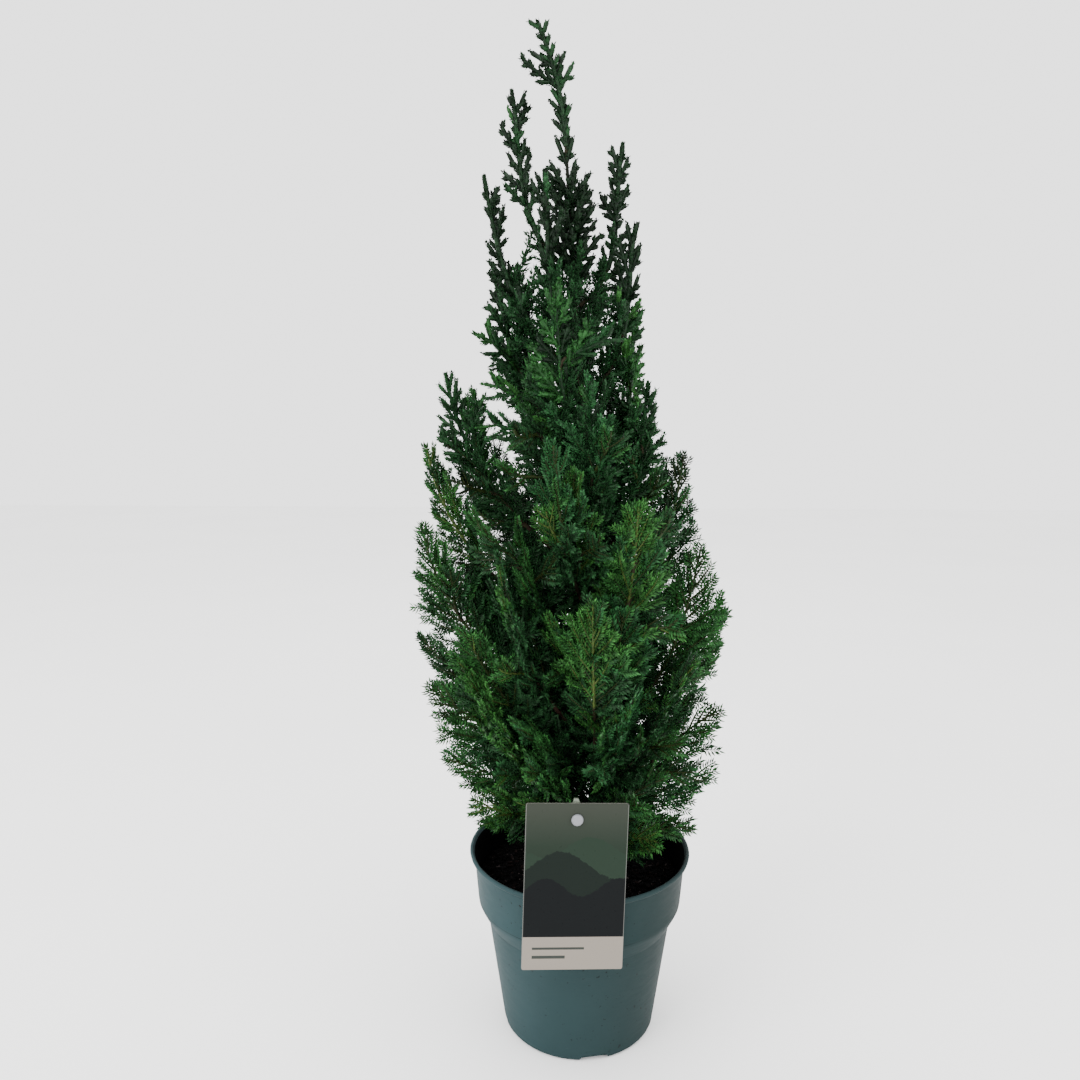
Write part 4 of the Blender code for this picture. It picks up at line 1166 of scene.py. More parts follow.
def side_shoots(shoots):
    """Plumes to tips that fill the crown's surface between those of the shoots."""
    tips = [shoot["path"][-1] for shoot in shoots]
    made = []
    for i in range(SIDE_TRIES):
        height = SIDE_HIGHEST + (FILL_LOWEST - SIDE_HIGHEST) * i / (SIDE_TRIES - 1)
        turn = (i + 0.5) * TURN
        shares = EDGE_REACH if abs(math.cos(turn)) > EDGE_VIEW else SIDE_REACH
        reach = shares[i % 3] * float(crown_reach(height, turn))
        tip = Vector((reach * math.cos(turn), reach * math.sin(turn), height))
        if min((tip - other).length for other in tips) < SIDE_SPACING or len(made) == MOST_SIDE_SHOOTS:
            continue
        found = branching_place(shoots, tip)
        if not found:
            continue
        place, ahead = found
        span = (tip - place).length
        arrive = arrival(Vector((tip.x, tip.y, 0.0)).normalized(), tip.z)
        path = bend(place, place + ahead * SIDE_PULL * span, tip - arrive * TIP_PULL * span, tip)
        side = "left" if abs(math.sin(turn)) < EDGE_FORM else "fill"
        shoot = {"side": side, "path": path}
        finish_shoot(shoot, len(shoots) + len(made), 0.0)
        made.append(shoot)
        tips.append(tip)
    return made


def place_on(shoot, distance):
    """The place on a shoot at a distance from its root."""
    return Vector([np.interp(distance, shoot["run"], shoot["points"][:, k]) for k in range(3)])


def along(shoot, distance):
    """The place and the direction of a shoot at a distance from its root."""
    before = place_on(shoot, distance - HEADING_STEP)
    after = place_on(shoot, distance + HEADING_STEP)
    return place_on(shoot, distance), (after - before).normalized()


def flatness(height):
    """Low shoots are flat plumes, and the top ones have twigs all round."""
    return 1 - clamp((height - FLAT_BELOW) / (ROUND_ABOVE - FLAT_BELOW))


def club_of(shoot):
    """How close the form of a shoot is, from loose 0 to close 1."""
    return 1 - flatness(shoot["path"][-1].z)


def envelope(share, left, longest):
    """The length of the sprays along a plume: short at its foot, and narrowing to its tip."""
    from_foot = longest * (FOOT_SPRAY_SHARE + FOOT_SPRAY_RISE * share)
    return min(from_foot, longest, TIP_SPRAY + TIP_SPREAD * left)


def sprays(shoot):
    """The seeded rule: start, direction, flat side, length and curl of each spray from foot to tip."""
    draw = random.Random(SEED + shoot["index"])
    first = shoot["bough"] + FIRST_SPRAY_ON_BOUGH if shoot["bough"] else FIRST_SPRAY
    span = shoot["length"] - first
    tip = shoot["path"][-1]
    cap = at_height(tip.z, SPRAY_LONGEST_BY_HEIGHT)
    longest = min(float(cap), max(SPRAY_SHORTEST, SPRAY_SHARE * shoot["length"]))
    outward = Vector((tip.x, tip.y, 0.0)).normalized()
    least, most = EDGE_TWIST if shoot["side"] in ("left", "right", "leader") else FILL_TWIST
    twist = math.radians(draw.uniform(least, most)) * draw.choice((-1, 1))
    facing = Matrix.Rotation(twist, 3, "Z") @ outward
    flat = flatness(tip.z)
    step = between(SPRAY_STEP, 1 - flat)
    if tip.x > OPEN_BEYOND and tip.z < OPEN_BELOW:
        step *= OPEN_STEP
    side = 1 if draw.random() < 0.5 else -1
    at = first
    while at < shoot["length"] - LAST_SPRAY:
        share = (at - first) / span
        place, ahead = along(shoot, at)
        normal = square_to(ahead, facing)
        beside = ahead.cross(normal)
        angle = SPRAY_ANGLE_LOW + (SPRAY_ANGLE_HIGH - SPRAY_ANGLE_LOW) * share
        angle += draw.uniform(-1, 1) * SPRAY_ANGLE_SPREAD
        around = (1 - FLAT_SHARE * flat) * draw.uniform(-SPRAY_AROUND, SPRAY_AROUND)
        around += FLAT_AROUND * flat * draw.uniform(-1, 1)
        spread = beside * side * math.cos(around) + normal * math.sin(around)
        direction = leaning(ahead, spread, angle).normalized()
        size = envelope(share, shoot["length"] - at, longest) * draw.uniform(*SPRAY_LENGTHS)
        roll = draw.uniform(-1, 1) * SPRAY_ROLL
        level = square_to(direction, normal)
        turned = Matrix.Rotation(roll, 3, direction) @ level
        curl = square_to(direction, ahead) * SPRAY_CURL
        yield place, direction, turned, size, curl
        side = -side
        at += step * draw.uniform(*STEP_SPREAD)


def tip_spray(shoot, level):
    """The shoot's own end, as one more spray."""
    start, _ = along(shoot, shoot["length"] - OWN_END)
    reach = shoot["path"][-1] - start
    heading = reach.normalized()
    return start, heading, square_to(heading, level), reach.length, Vector()


def below_tip(leader, below):
    """The place and the direction of the leader, or of the trunk's top under it."""
    if below < leader["length"]:
        return along(leader, leader["length"] - below)
    height = TRUNK_TOP - (below - leader["length"])
    return trunk_place(height), (trunk_place(height + 0.002) - trunk_place(height)).normalized()


def leader_sprays(shoot):
    """The sprays of the leader as they stand, and short stubs on both sides between them."""
    draw = random.Random(SEED * 13)
    rows = []
    for first, last, step, lengths, degrees in (
        (0.004, PRESSED_BELOW, LEADER_STUB_STEP, LEADER_STUBS, STUB_ANGLE),
        (PRESSED_BELOW, PRESSED_TO, PRESSED_STEP, PRESSED_LENGTHS, PRESSED_ANGLE),
    ):
        for k in range(int((last - first) / step)):
            rows.append((first + k * step, 1 if k % 2 else -1, draw.uniform(*lengths), degrees))
    found = []
    for below, side, length, degrees in rows + list(LEADER_SPRAYS):
        place, ahead = below_tip(shoot, below)
        flat = Matrix.Rotation(draw.uniform(-LEADER_TURN, LEADER_TURN), 3, ahead) @ Vector((0.0, -1.0, 0.0))
        flat = square_to(ahead, flat)
        beside = ahead.cross(flat) * side
        angle = math.radians(degrees) + draw.uniform(*LEADER_ANGLES)
        heading = leaning(ahead, beside, angle).normalized()
        level = square_to(heading, flat)
        found.append((place, heading, level, length, ahead * LEADER_CURL))
    return found


def shade_sprays(shoot):
    """Older sprays all round a shoot's stem, in the shade of the outer ones."""
    draw = random.Random(SEED * 3 + shoot["index"])
    last = min(SHADE_SHARE * shoot["length"], shoot["length"] - SHADE_FROM_TIP)
    turn = draw.uniform(0, 2 * math.pi)
    rows = []
    for i in range(1, int(last / SHADE_STEP) + 1):
        place, ahead = along(shoot, i * SHADE_STEP)
        turn += TURN
        if place.z > SHADE_HIGHEST:
            break
        out = Matrix.Rotation(turn, 3, ahead) @ ahead.orthogonal().normalized()
        heading = leaning(ahead, out, SHADE_ANGLE)
        level = Matrix.Rotation(draw.uniform(-SHADE_ROLL, SHADE_ROLL), 3, heading) @ ahead.cross(out)
        rows.append((place, heading, level, draw.uniform(*SHADE_LENGTHS), ahead * SHADE_CURL))
    return rows


def trunk_sprays():
    """Sprays that grow from the trunk itself, fewer where the photo shows sky between the shoots."""
    draw = random.Random(SEED * 5)
    rows = []
    for i in range(TRUNK_SPRAYS):
        height = TRUNK_SPRAY_LOWEST + (TRUNK_SPRAY_HIGHEST - TRUNK_SPRAY_LOWEST) * i / (TRUNK_SPRAYS - 1)
        turn = i * TURN
        if THIN_SPRAYS_FROM < height < THIN_SPRAYS_TO and i % 2:
            continue
        out = Vector((math.cos(turn), math.sin(turn), 0.0))
        start = trunk_place(height) + out * trunk_radius(height)
        heading = leaning(UP, out, TRUNK_SPRAY_ANGLE)
        level = Matrix.Rotation(draw.uniform(-SHADE_ROLL, SHADE_ROLL), 3, heading) @ out.cross(UP)
        lengths = TRUNK_SPRAY_LENGTHS if height < SHADE_HIGHEST else TOP_SPRAY_LENGTHS
        length = min(draw.uniform(*lengths), TRUNK_SPRAY_REACH * float(crown_reach(height, turn)))
        rows.append((start, heading, level, length, UP * TRUNK_SPRAY_CURL))
    return rows


# Twigs as arrays: each row keeps its start, heading, curl, flat side, length and the rest below


TWIG_KEYS = ("shoot", "free", "shade", "club", "tone", "start", "heading", "flat", "length", "curl")


def unit(vectors):
    return vectors / np.maximum(np.linalg.norm(vectors, axis=-1, keepdims=True), 1e-12)


def part_of(twigs, keep):
    return {key: value[keep] for key, value in twigs.items()}


def joined(groups):
    return {key: np.concatenate([group[key] for group in groups]) for key in groups[0]}


def as_column(share):
    return np.asarray(share)[..., None] if np.ndim(share) else share


def point_at(twigs, share):
    """The place on each twig at a share of its length."""
    share = as_column(share)
    return twigs["start"] + twigs["length"][:, None] * (share * twigs["heading"] + share**2 * twigs["curl"])


def heading_at(twigs, share):
    return unit(twigs["heading"] + 2 * as_column(share) * twigs["curl"])


def squared(vectors, axes):
    """Unit vectors square to the axes, row by row."""
    return unit(vectors - axes * (vectors * axes).sum(1, keepdims=True))


def swung(first, second, angles):
    """From the first directions towards the second ones, by an angle for each row."""
    return first * np.cos(angles)[:, None] + second * np.sin(angles)[:, None]


def repeated(twigs, count):
    """Each twig as often as its count says, with the twig's number and the copy's."""
    twig = np.repeat(np.arange(len(count)), count)
    number = np.arange(count.sum()) - np.repeat(np.cumsum(count) - count, count)
    return part_of(twigs, twig), twig, number


def beside_twig(twigs, ahead):
    """The twig's flat side and the direction across it, square to its heading."""
    flat = squared(twigs["flat"], ahead)
    return flat, np.cross(flat, ahead)


def tone_of(draw, tip):
    """A tone by the place of a tip: light ones in front, dark ones on top and behind."""
    high = clamp((tip.z - HIGH_CROWN[0]) / HIGH_CROWN[1])
    top = clamp((tip.z - TOP_CROWN[0]) / TOP_CROWN[1])
    low = clamp((LOW_CROWN[0] - tip.z) / LOW_CROWN[1])
    outer = min(1.0, math.hypot(tip.x, tip.y) / float(crown_reach(tip.z, math.atan2(tip.y, tip.x))))
    front = outer * clamp(-tip.y / FRONT_FADE)
    fresh = (0.04 + 0.22 * front * (1 - 0.95 * high)) * (1 - top)
    blue = 0.15 * (1 - high)
    dark = 0.50 * high + 0.32 * top
    deep = 0.36 - 0.10 * high - 0.16 * front - 0.12 * low + 0.10 * top
    shares = {"dark": dark, "deep": deep, "fresh": fresh, "blue": blue}
    shares["mid"] = max(0.05, 1 - sum(shares.values()))
    return draw.choices(TONE_NAMES, [shares[name] for name in TONE_NAMES])[0]


def spray_table(shoots):
    """All sprays of all shoots and of the trunk."""
    draw = random.Random(SEED * 11)
    rows = []
    for shoot in shoots:
        club = club_of(shoot)
        leader = shoot["side"] == "leader"
        if "tone" not in shoot:
            shoot["tone"] = tone_of(draw, shoot["path"][-1])
        found = leader_sprays(shoot) if leader else list(sprays(shoot))
        found.append(tip_spray(shoot, found[-1][2]))
        for number, row in enumerate(found):
            tip = row[0] + row[1] * row[3]
            tone = shoot["tone"] if draw.random() < TONE_KEPT else tone_of(draw, tip)
            # Painted shade: sprays near a plume's foot mostly take the deep tone
            if number < SHADED_FOOT_SHARE * len(found) and draw.random() < TONE_KEPT:
                tone = "deep"
            reach = float(crown_reach(tip.z, math.atan2(tip.y, tip.x)))
            hidden = tip.z < SHADE_HIGHEST and math.hypot(tip.x, tip.y) < HIDDEN_SHARE * reach
            rows.append((shoot["index"], leader, hidden, club, TONE_NAMES.index(tone), *row))
        for row in shade_sprays(shoot):
            rows.append((shoot["index"], False, True, club, TONE_NAMES.index("deep"), *row))
    for row in trunk_sprays():
        shade = row[0].z < SHADE_HIGHEST
        tone = TONE_NAMES.index("deep" if shade else "dark")
        rows.append((0, True, shade, 1 - flatness(row[0].z), tone, *row))
    return {key: np.array([np.array(row[i]) for row in rows]) for i, key in enumerate(TWIG_KEYS)}


def clear_of_limbs(points):
    """Which points stay off the trunk, the pot, the soil, the card and its stake."""
    x, y, z = points.T
    low = np.clip(z, TRUNK_FOOT, TRUNK_TOP)
    across, depth = trunk_middle(low, np.sin)
    share = 1 - (low - TRUNK_FOOT) / (TRUNK_TOP - TRUNK_FOOT)
    bark = TRUNK_TIP_RADIUS + (TRUNK_RADIUS - TRUNK_TIP_RADIUS) * share**TRUNK_TAPER
    off_trunk = np.sqrt((x - across) ** 2 + (y - depth) ** 2 + (z - low) ** 2) > bark + LIMB_CLEARANCE
    radius = np.hypot(x, y)
    in_pot = (z < POT_HEIGHT + RIM_CLEARANCE) & (radius > COLLAR_TOP_RADIUS - POT_WALL - RIM_CLEARANCE)
    in_soil = z < soil_level(radius) + SOIL_CLEARANCE
    below_stake = z < CARD_MIDDLE[2] + CARD_HEIGHT / 2 + STAKE_ABOVE_HOLE
    over_card = np.abs(x - CARD_MIDDLE[0]) < CARD_WIDTH / 2 + CARD_CLEARANCE
    at_card = over_card & (y < CARD_MIDDLE[1] + CARD_CLEARANCE)
    over_stake = np.abs(x - STAKE_FOOT[0]) < STAKE_WIDTH / 2 + STAKE_CLEARANCE
    at_stake = over_stake & (y < STAKE_FOOT[1] + CARD_CLEARANCE)
    return off_trunk & ~in_pot & ~in_soil & ~(below_stake & (at_card | at_stake))


def in_crown(points, share):
    """Which points stay within a share of the crown's outline, as its furthest tips give it."""
    x, y, z = points.T
    return np.hypot(x, y) < share * crown_reach(z, np.arctan2(y, x)) + OUTLINE_SLACK


def in_own_space(points, shoot, stems):
    """Which points are nearer to their own stem than to any other, but for a little slack."""
    inside = np.empty(len(points), bool)
    for low in range(0, len(points), POINTS_AT_ONCE):
        chunk = slice(low, low + POINTS_AT_ONCE)
        gaps = np.linalg.norm(points[chunk, None, None, :] - stems[None], axis=3).min(axis=2)
        rows = np.arange(len(gaps))
        own = gaps[rows, shoot[chunk]].copy()
        gaps[rows, shoot[chunk]] = 1.0
        inside[chunk] = gaps.min(axis=1) + OWN_SPACE_SLACK > own
    return inside


def fitted(twigs, stems, least):
    """The twigs that stay in their space, shortened where that helps, and skipped where not."""
    full = twigs["length"].copy()
    fits = np.zeros(len(full), bool)
    for share in TWIG_TRIES:
        todo = np.flatnonzero(~fits & (full * share >= least))
        tried = part_of(twigs, todo)
        tried["length"] = full[todo] * share
        good = np.ones(len(todo), bool)
        for at in TESTED_AT:
            points = point_at(tried, at)
            good &= clear_of_limbs(points)
            good &= tried["free"] | in_own_space(points, tried["shoot"], stems)
            share_of_reach = np.where(tried["shade"], SHADE_REACH, 1.0)
            good &= (tried["free"] & ~tried["shade"]) | in_crown(points, share_of_reach)
        done = todo[good]
        twigs["length"][done] = full[done] * share
        fits[done] = True
    return part_of(twigs, fits)


def grown(parents, draw):
    """Side twigs at alternate sides of each spray."""
    step = between(TWIG_STEP, parents["club"])
    first = between(TWIG_FIRST, parents["club"])
    count = np.maximum(2, np.round(parents["length"] * (TWIG_LAST - first) / step)).astype(int)
    child, parent, number = repeated(parents, count)
    total = len(parent)
    first = first[parent]
    share = first + (TWIG_LAST - first) * (number + draw.uniform(0.3, 0.7, total)) / count[parent]
    ahead = heading_at(child, share)
    flat, across = beside_twig(child, ahead)
    side = np.where((number + parent) % 2, 1.0, -1.0)
    angle = TWIG_ANGLE + draw.uniform(-1, 1, total) * TWIG_ANGLE_SPREAD
    around = draw.uniform(-1, 1, total) * TWIG_AROUND
    out = across * (side * np.cos(around))[:, None] + flat * np.sin(around)[:, None]
    heading = unit(swung(ahead, out, angle))
    fall = (1 - TWIG_FALL * share) * draw.uniform(*TWIG_LENGTHS, total)
    child["start"] = point_at(child, share)
    child["length"] = between(TWIG_SHARE, child["club"]) * child["length"] * fall
    child["heading"] = heading
    child["flat"] = squared(flat, heading)
    child["curl"] = squared(ahead, heading) * TWIG_CURL
    return child


def twig_needles(twigs, draw, kind):
    """Needles in opposite pairs along each twig, a quarter turn apart, and as a flat comb low down."""
    count = np.maximum(2, np.ceil(twigs["length"] / between(kind["spacing"], twigs["club"]))).astype(int)
    mine, twig, number = repeated(twigs, 2 * count)
    club, total = mine["club"], len(twig)
    share = (number // 2 + draw.uniform(0.2, 0.8, total)) / count[twig]
    share = 0.03 + 0.97 * share ** between(NEEDLE_CROWDING, club)
    ahead = heading_at(mine, share)
    flat, across = beside_twig(mine, ahead)
    turn = math.pi * (number % 2) + 0.5 * math.pi * (number // 2 % 2) + between(NEEDLE_TURN, club)
    turn += draw.uniform(-1, 1, total) * between(NEEDLE_TURN_SPREAD, club)
    radial = swung(flat, across, turn)
    comb = 1 - COMB_LIFT * np.abs(np.cos(turn)) * (1 - club)
    wide, close = between(kind["angle"], club), between(kind["tip_angle"], club)
    slant = wide + (close - wide) * share**2
    slant += draw.uniform(-NEEDLE_SLANT_SPREAD, NEEDLE_SLANT_SPREAD, total)
    heading = swung(ahead, radial, slant)
    edge = unit(np.cross(heading, radial))
    roll = between(COMB_ROLL, club) + draw.uniform(-1, 1, total) * COMB_ROLL_SPREAD
    beside = swung(edge, np.cross(heading, edge), roll)
    reach = between(kind["length"], club) * (1 - between(NEEDLE_TAPER, club) * share) * comb
    reach = (reach * draw.uniform(*NEEDLE_LENGTHS, total))[:, None]
    breadth = (between(kind["width"], club) * draw.uniform(*NEEDLE_WIDTHS, total))[:, None]
    base = point_at(mine, share)
    middle = base + heading * reach * NEEDLE_WIDEST + np.cross(beside, heading) * breadth * NEEDLE_FOLD
    tip = base + heading * reach - radial * reach * NEEDLE_HOOK
    points = np.stack([base, middle + beside * breadth * 0.5, tip, middle - beside * breadth * 0.5], axis=1)
    return points, mine["tone"]


def needle_piece(name, points, material):
    """Needles of four points, each a folded blade of two triangles."""
    corners = np.arange(len(points))[:, None] * 4
    faces = np.concatenate([corners + [0, 1, 2], corners + [0, 2, 3]])
    piece = piece_from(name, points.reshape(-1, 3), faces)
    # The share along each needle, which the needle material reads to paint shade at its foot
    reach = piece.data.attributes.new("reach", "FLOAT", "POINT")
    shares = np.array((0.0, NEEDLE_WIDEST, 1.0, NEEDLE_WIDEST), np.float32)
    reach.data.foreach_set("value", np.tile(shares, len(points)))
    give(piece, material)
    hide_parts(*FOLIAGE_NODES)


def tube_faces(rings, sides):
    faces = []
    for ring in range(rings - 1):
        for k in range(sides):
            a, b = ring * sides + k, ring * sides + (k + 1) % sides
            faces += [(a, b, b + sides), (a, b + sides, a + sides)]
    return faces


def twig_tubes(twigs, radius, shape, sides):
    """Thin stalks along twigs, each ending in a point; the shape is of (share, part of the radius)."""
    count = len(twigs["length"])
    radius = np.broadcast_to(radius, count)[:, None]
    turns = 2 * math.pi * np.arange(sides) / sides
    levels = []
    for share, part in shape:
        flat, across = beside_twig(twigs, heading_at(twigs, share))
        centre = point_at(twigs, share)
        levels += [centre + (flat * math.cos(a) - across * math.sin(a)) * radius * part for a in turns]
    levels.append(point_at(twigs, 1.0))
    points = np.stack(levels, axis=1)
    rings = len(shape)
    last = (rings - 1) * sides
    faces = tube_faces(rings, sides)
    faces += [(last + k, last + (k + 1) % sides, rings * sides) for k in range(sides)]
    every = np.array(faces)[None] + (np.arange(count) * (rings * sides + 1))[:, None, None]
    return points.reshape(-1, 3), every.reshape(-1, 3)


def stem_tube(shoot, start, end, root, tip, sides, step):
    """A stretch of a shoot's stem, between two distances from its root."""
    count = max(2, int((end - start) / step))
    points = []
    for i in range(count + 1):
        share = i / count
        place, ahead = along(shoot, start + (end - start) * share)
        side, front = ring_sides(ahead)
        radius = root + (tip - root) * share
        for k in range(sides):
            turn = 2 * math.pi * k / sides
            uneven = 1 + STEM_UNEVENNESS * noise.noise(Vector((turn * 2, place.z * 300, shoot["index"])))
            points.append(place + leaning(side, front, turn) * radius * uneven)
    return np.array(points), np.array(tube_faces(count + 1, sides))


def stacked(groups):
    """Several (points, faces) as one."""
    offset, points, faces = 0, [], []
    for group_points, group_faces in groups:
        points.append(group_points)
        faces.append(group_faces + offset)
        offset += len(group_points)
    return np.concatenate(points), np.concatenate(faces)


def axis_twigs(shoots):
    """Stems and the upper trunk as short straight twigs, for the long needles on them."""
    rows = []
    for shoot in shoots:
        start = shoot["bough"] + FIRST_SPRAY_ON_BOUGH if shoot["bough"] else 0.002
        pieces = max(1, round((shoot["length"] - start) / AXIS_STRETCH))
        ends = [place_on(shoot, d) for d in np.linspace(start, shoot["length"], pieces + 1)]
        club = club_of(shoot)
        tone = TONE_NAMES.index(shoot["tone"])
        rows += [(club, a, b, tone) for a, b in zip(ends, ends[1:])]
    heights = np.linspace(TRUNK_NEEDLES_FROM, TRUNK_TOP, 15)
    rows += [(0.0, trunk_place(a), trunk_place(b), 0) for a, b in zip(heights, heights[1:])]
    start = np.array([row[1] for row in rows])
    along_axis = np.array([row[2] for row in rows]) - start
    heading = unit(along_axis)
    table = {"start": start, "heading": heading, "length": np.linalg.norm(along_axis, axis=1)}
    table["flat"] = unit(np.cross([0.0, 1.0, 0.0], heading))
    table["curl"] = np.zeros_like(start)
    table["club"] = np.array([row[0] for row in rows])
    table["tone"] = np.array([row[3] for row in rows])
    return table


def make_crown(bark):
    draw = np.random.default_rng(SEED)
    shoots = plan_shoots()
    shoots += single_plumes(shoots)
    shoots += side_shoots(shoots)
    stems = np.array([shoot["points"] for shoot in shoots])
    table = fitted(spray_table(shoots), stems, LEAST_SPRAY)
    side_twigs = grown(table, draw)
    twigs = joined([table, fitted(side_twigs, stems, between(TWIG_LEAST, side_twigs["club"]))])
    outer, shade = part_of(twigs, ~twigs["shade"]), part_of(twigs, twigs["shade"])
    axes = axis_twigs(shoots)
    close_axes = part_of(axes, axes["club"] > CLOSE_FROM)
    twice = joined([close_axes, close_axes])
    kinds = ((outer, NEEDLES), (shade, SHADE_NEEDLES), (axes, AWLS), (twice, NEEDLES))
    sets = [twig_needles(carriers, draw, kind) for carriers, kind in kinds]
    points, tones = (np.concatenate(group) for group in zip(*sets))
    for tone, name in enumerate(TONE_NAMES):
        material = needle_material(f"{name}_needles", TONES[name])
        mine = points[tones == tone]
        pieces = max(1, math.ceil(2 * len(mine) / MOST_TRIANGLES))
        for number, group in enumerate(np.array_split(mine, pieces), 1):
            needle_piece(f"needles_{name}_{number}", group, material)
    make_twigs(twigs)
    make_stems(shoots, part_of(table, ~table["shade"]), bark)


def make_twigs(twigs):
    """The green cores of the fine twigs, a little darker than their needles."""
    radius = between(TWIG_RADIUS, twigs["club"])
    close = (twigs["club"] > CLOSE_FROM) & ~twigs["shade"]
    for tone, name in enumerate(TONE_NAMES):
        mine = twigs["tone"] == tone
        thick = twig_tubes(part_of(twigs, mine & close), radius[mine & close], ((0.0, 0.72), (0.88, 1.0)), 4)
        thin = twig_tubes(part_of(twigs, mine & ~close), TWIG_RADIUS[0], ((0.0, 1.0),), 3)
        core = piece_from(f"fine_twigs_{name}", *stacked([thick, thin]))
        give(core, needle_material(f"{name}_twigs", shaded(TONES[name], 0.6), painted_foot_shade=False))


def make_stems(shoots, table, bark):
    """Woody stems on the trunk side of each shoot, green axes beyond, and the axes of the sprays."""
    boughs, woody, light, dark, close = [], [], [], [], []
    for shoot in shoots:
        length, start = shoot["length"], shoot["bough"]
        if start:
            bough = stem_tube(shoot, -0.001, start + 0.002, BOUGH_RADIUS, BOUGH_TIP_RADIUS, 12, 0.0012)
            boughs.append(bough)
        share = LEADER_WOODY_SHARE if shoot["side"] == "leader" else WOODY_SHARE
        turn = start + share * (length - start)
        woody.append(stem_tube(shoot, start, turn + 0.001, STEM_RADIUS, STEM_TIP_RADIUS, 8, 0.002))
        club = club_of(shoot)
        green = close if club > CLOSE_FROM else light if shoot["tone"] == "fresh" else dark
        root, tip = between(AXIS_RADIUS, club), between(AXIS_TIP_RADIUS, club)
        green.append(stem_tube(shoot, turn, length - 0.002, root, tip, 6, 0.003))
    limb = piece_from("bough_bark", *stacked(boughs))
    give(limb, bark)
    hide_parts(*BOUGH_NODES)
    stems = piece_from("woody_stems", *stacked(woody))
    give(stems, bark_material("twig_bark", *TWIG_BROWNS))
    bright = (table["tone"] == TONE_NAMES.index("fresh")) & (table["club"] < CLOSE_FROM)
    shape = ((0.0, 1.0), (0.4, 0.8), (0.8, 0.6))
    for name, strength, mine, tubes in (("green", 0.72, bright, light), ("dark", 0.26, ~bright, dark)):
        spray_axes = twig_tubes(part_of(table, mine), SPRAY_AXIS_RADIUS, shape, 4)
        axes = piece_from(f"{name}_axes", *stacked(tubes + [spray_axes]))
        give(axes, rachis_material(f"{name}_rachis", strength))
    upper = piece_from("upper_axes", *stacked(close))
    give(upper, needle_material("upper_axis_green", TONES["dark"], painted_foot_shade=False))


# Label


def card_frame():
    """The card's frame: its width along X, its height along Y and its front along Z."""
    upright = Matrix.Rotation(math.radians(90), 4, "X")
    lean = Matrix.Rotation(CARD_TILT, 4, "X") @ Matrix.Rotation(CARD_TURN, 4, "Y")
    return Matrix.Translation(CARD_MIDDLE) @ Matrix.Rotation(CARD_FACING, 4, "Z") @ lean @ upright


def card_material():
    """Printed card: sage sky over dark hills, a cream foot and plain bars, all without lettering."""
    made, shader, place = start_material("printed_card", (0.10, 0.12, 0.08), 0.40, gloss=0.05)
    nodes = made.node_tree.nodes
    turn = card_frame().inverted()
    mapping = nodes.new("ShaderNodeMapping")
    mapping.inputs["Location"].default_value = turn.translation
    mapping.inputs["Rotation"].default_value = turn.to_euler("XYZ")
    link(made, place, mapping.inputs["Vector"])
    x, y, z = parts_of(made, mapping.outputs["Vector"])
    half = CARD_HEIGHT / 2
    up = map_range(made, y, -half, half, 0.0, 1.0)
    grain = noise_field(made, mapping.outputs["Vector"], 420.0, 5.0)
    colour = ramp(made, up, SKY)
    for base, size, waves, shift, tint in HILLS:
        swell = math_node(made, "SINE", math_node(made, "MULTIPLY_ADD", x, waves, shift))
        ridge = math_node(made, "MULTIPLY_ADD", swell, size, base)
        rough = math_node(made, "MULTIPLY_ADD", grain, HILL_ROUGHNESS, -HILL_ROUGHNESS / 2)
        below = short_of(made, y, math_node(made, "ADD", ridge, rough))
        colour = mix_colour(made, below, colour, tint)
    foot = short_of(made, y, -half + CARD_FOOT)
    colour = mix_colour(made, foot, colour, CARD_FOOT_COLOUR)
    for low, high, left, right in BARS:
        tall = times(made, beyond(made, y, low), short_of(made, y, high))
        wide = times(made, beyond(made, x, left), short_of(made, x, right))
        colour = mix_colour(made, times(made, tall, wide), colour, BAR_COLOUR)
    rim = beyond(made, math_node(made, "ABSOLUTE", x), CARD_WIDTH / 2 - CUT_EDGE)
    colour = mix_colour(made, times(made, rim, 0.55), colour, CUT_EDGE_COLOUR)
    back = short_of(made, z, 0.2 * CARD_THICKNESS)
    colour = mix_colour(made, back, colour, CARD_BACK_COLOUR)
    paint(made, shader, colour, map_range(made, grain, 0.3, 0.7, 0.26, 0.40))
    bump(made, shader, grain, 0.00003, 0.3)
    return made


def make_card():
    deselect()
    bpy.ops.mesh.primitive_plane_add(size=1.0)
    card = start_piece("label_card_print")
    card.data.transform(Matrix.Diagonal((CARD_WIDTH, CARD_HEIGHT, 1.0, 1.0)))
    edit_whole()
    bpy.ops.mesh.bevel(offset=CARD_CORNER, segments=5, affect="VERTICES")
    bpy.ops.mesh.extrude_region_move(TRANSFORM_OT_translate={"value": (0.0, 0.0, CARD_THICKNESS)})
    bpy.ops.mesh.select_all(action="SELECT")
    bpy.ops.transform.translate(value=(0.0, 0.0, -CARD_THICKNESS / 2))
    close_edit()
    deselect()
    middle = (0.0, CARD_HEIGHT / 2 - HOLE_BELOW_TOP, 0.0)
    bpy.ops.mesh.primitive_cylinder_add(vertices=32, radius=HOLE_RADIUS, depth=0.01, location=middle)
    punch = start_piece("hole_punch")
    cut_out(card, punch)
    round_edges(card, CARD_ROUNDING, 1)
    card.data.transform(card_frame())
    smooth(card, 30)
    give(card, card_material())
    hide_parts("label_card")


def stake_frame():
    """The stake's frame: its foot at the origin, its length along Z and its front along -Y."""
    foot = Vector(STAKE_FOOT)
    hole = card_frame() @ Vector((0.0, CARD_HEIGHT / 2 - HOLE_BELOW_TOP, 0.0))
    behind = card_frame().to_3x3() @ Vector((0, 0, -1))
    hole += behind * ((CARD_THICKNESS + STAKE_THICKNESS) / 2 + STAKE_STANDOFF)
    up = (hole - foot).normalized()
    back = square_to(up, Vector((0.0, 1.0, 0.0)))
    turned = Matrix((back.cross(up), back, up)).transposed().to_4x4()
    turned.translation = foot
    return turned, (hole - foot).length


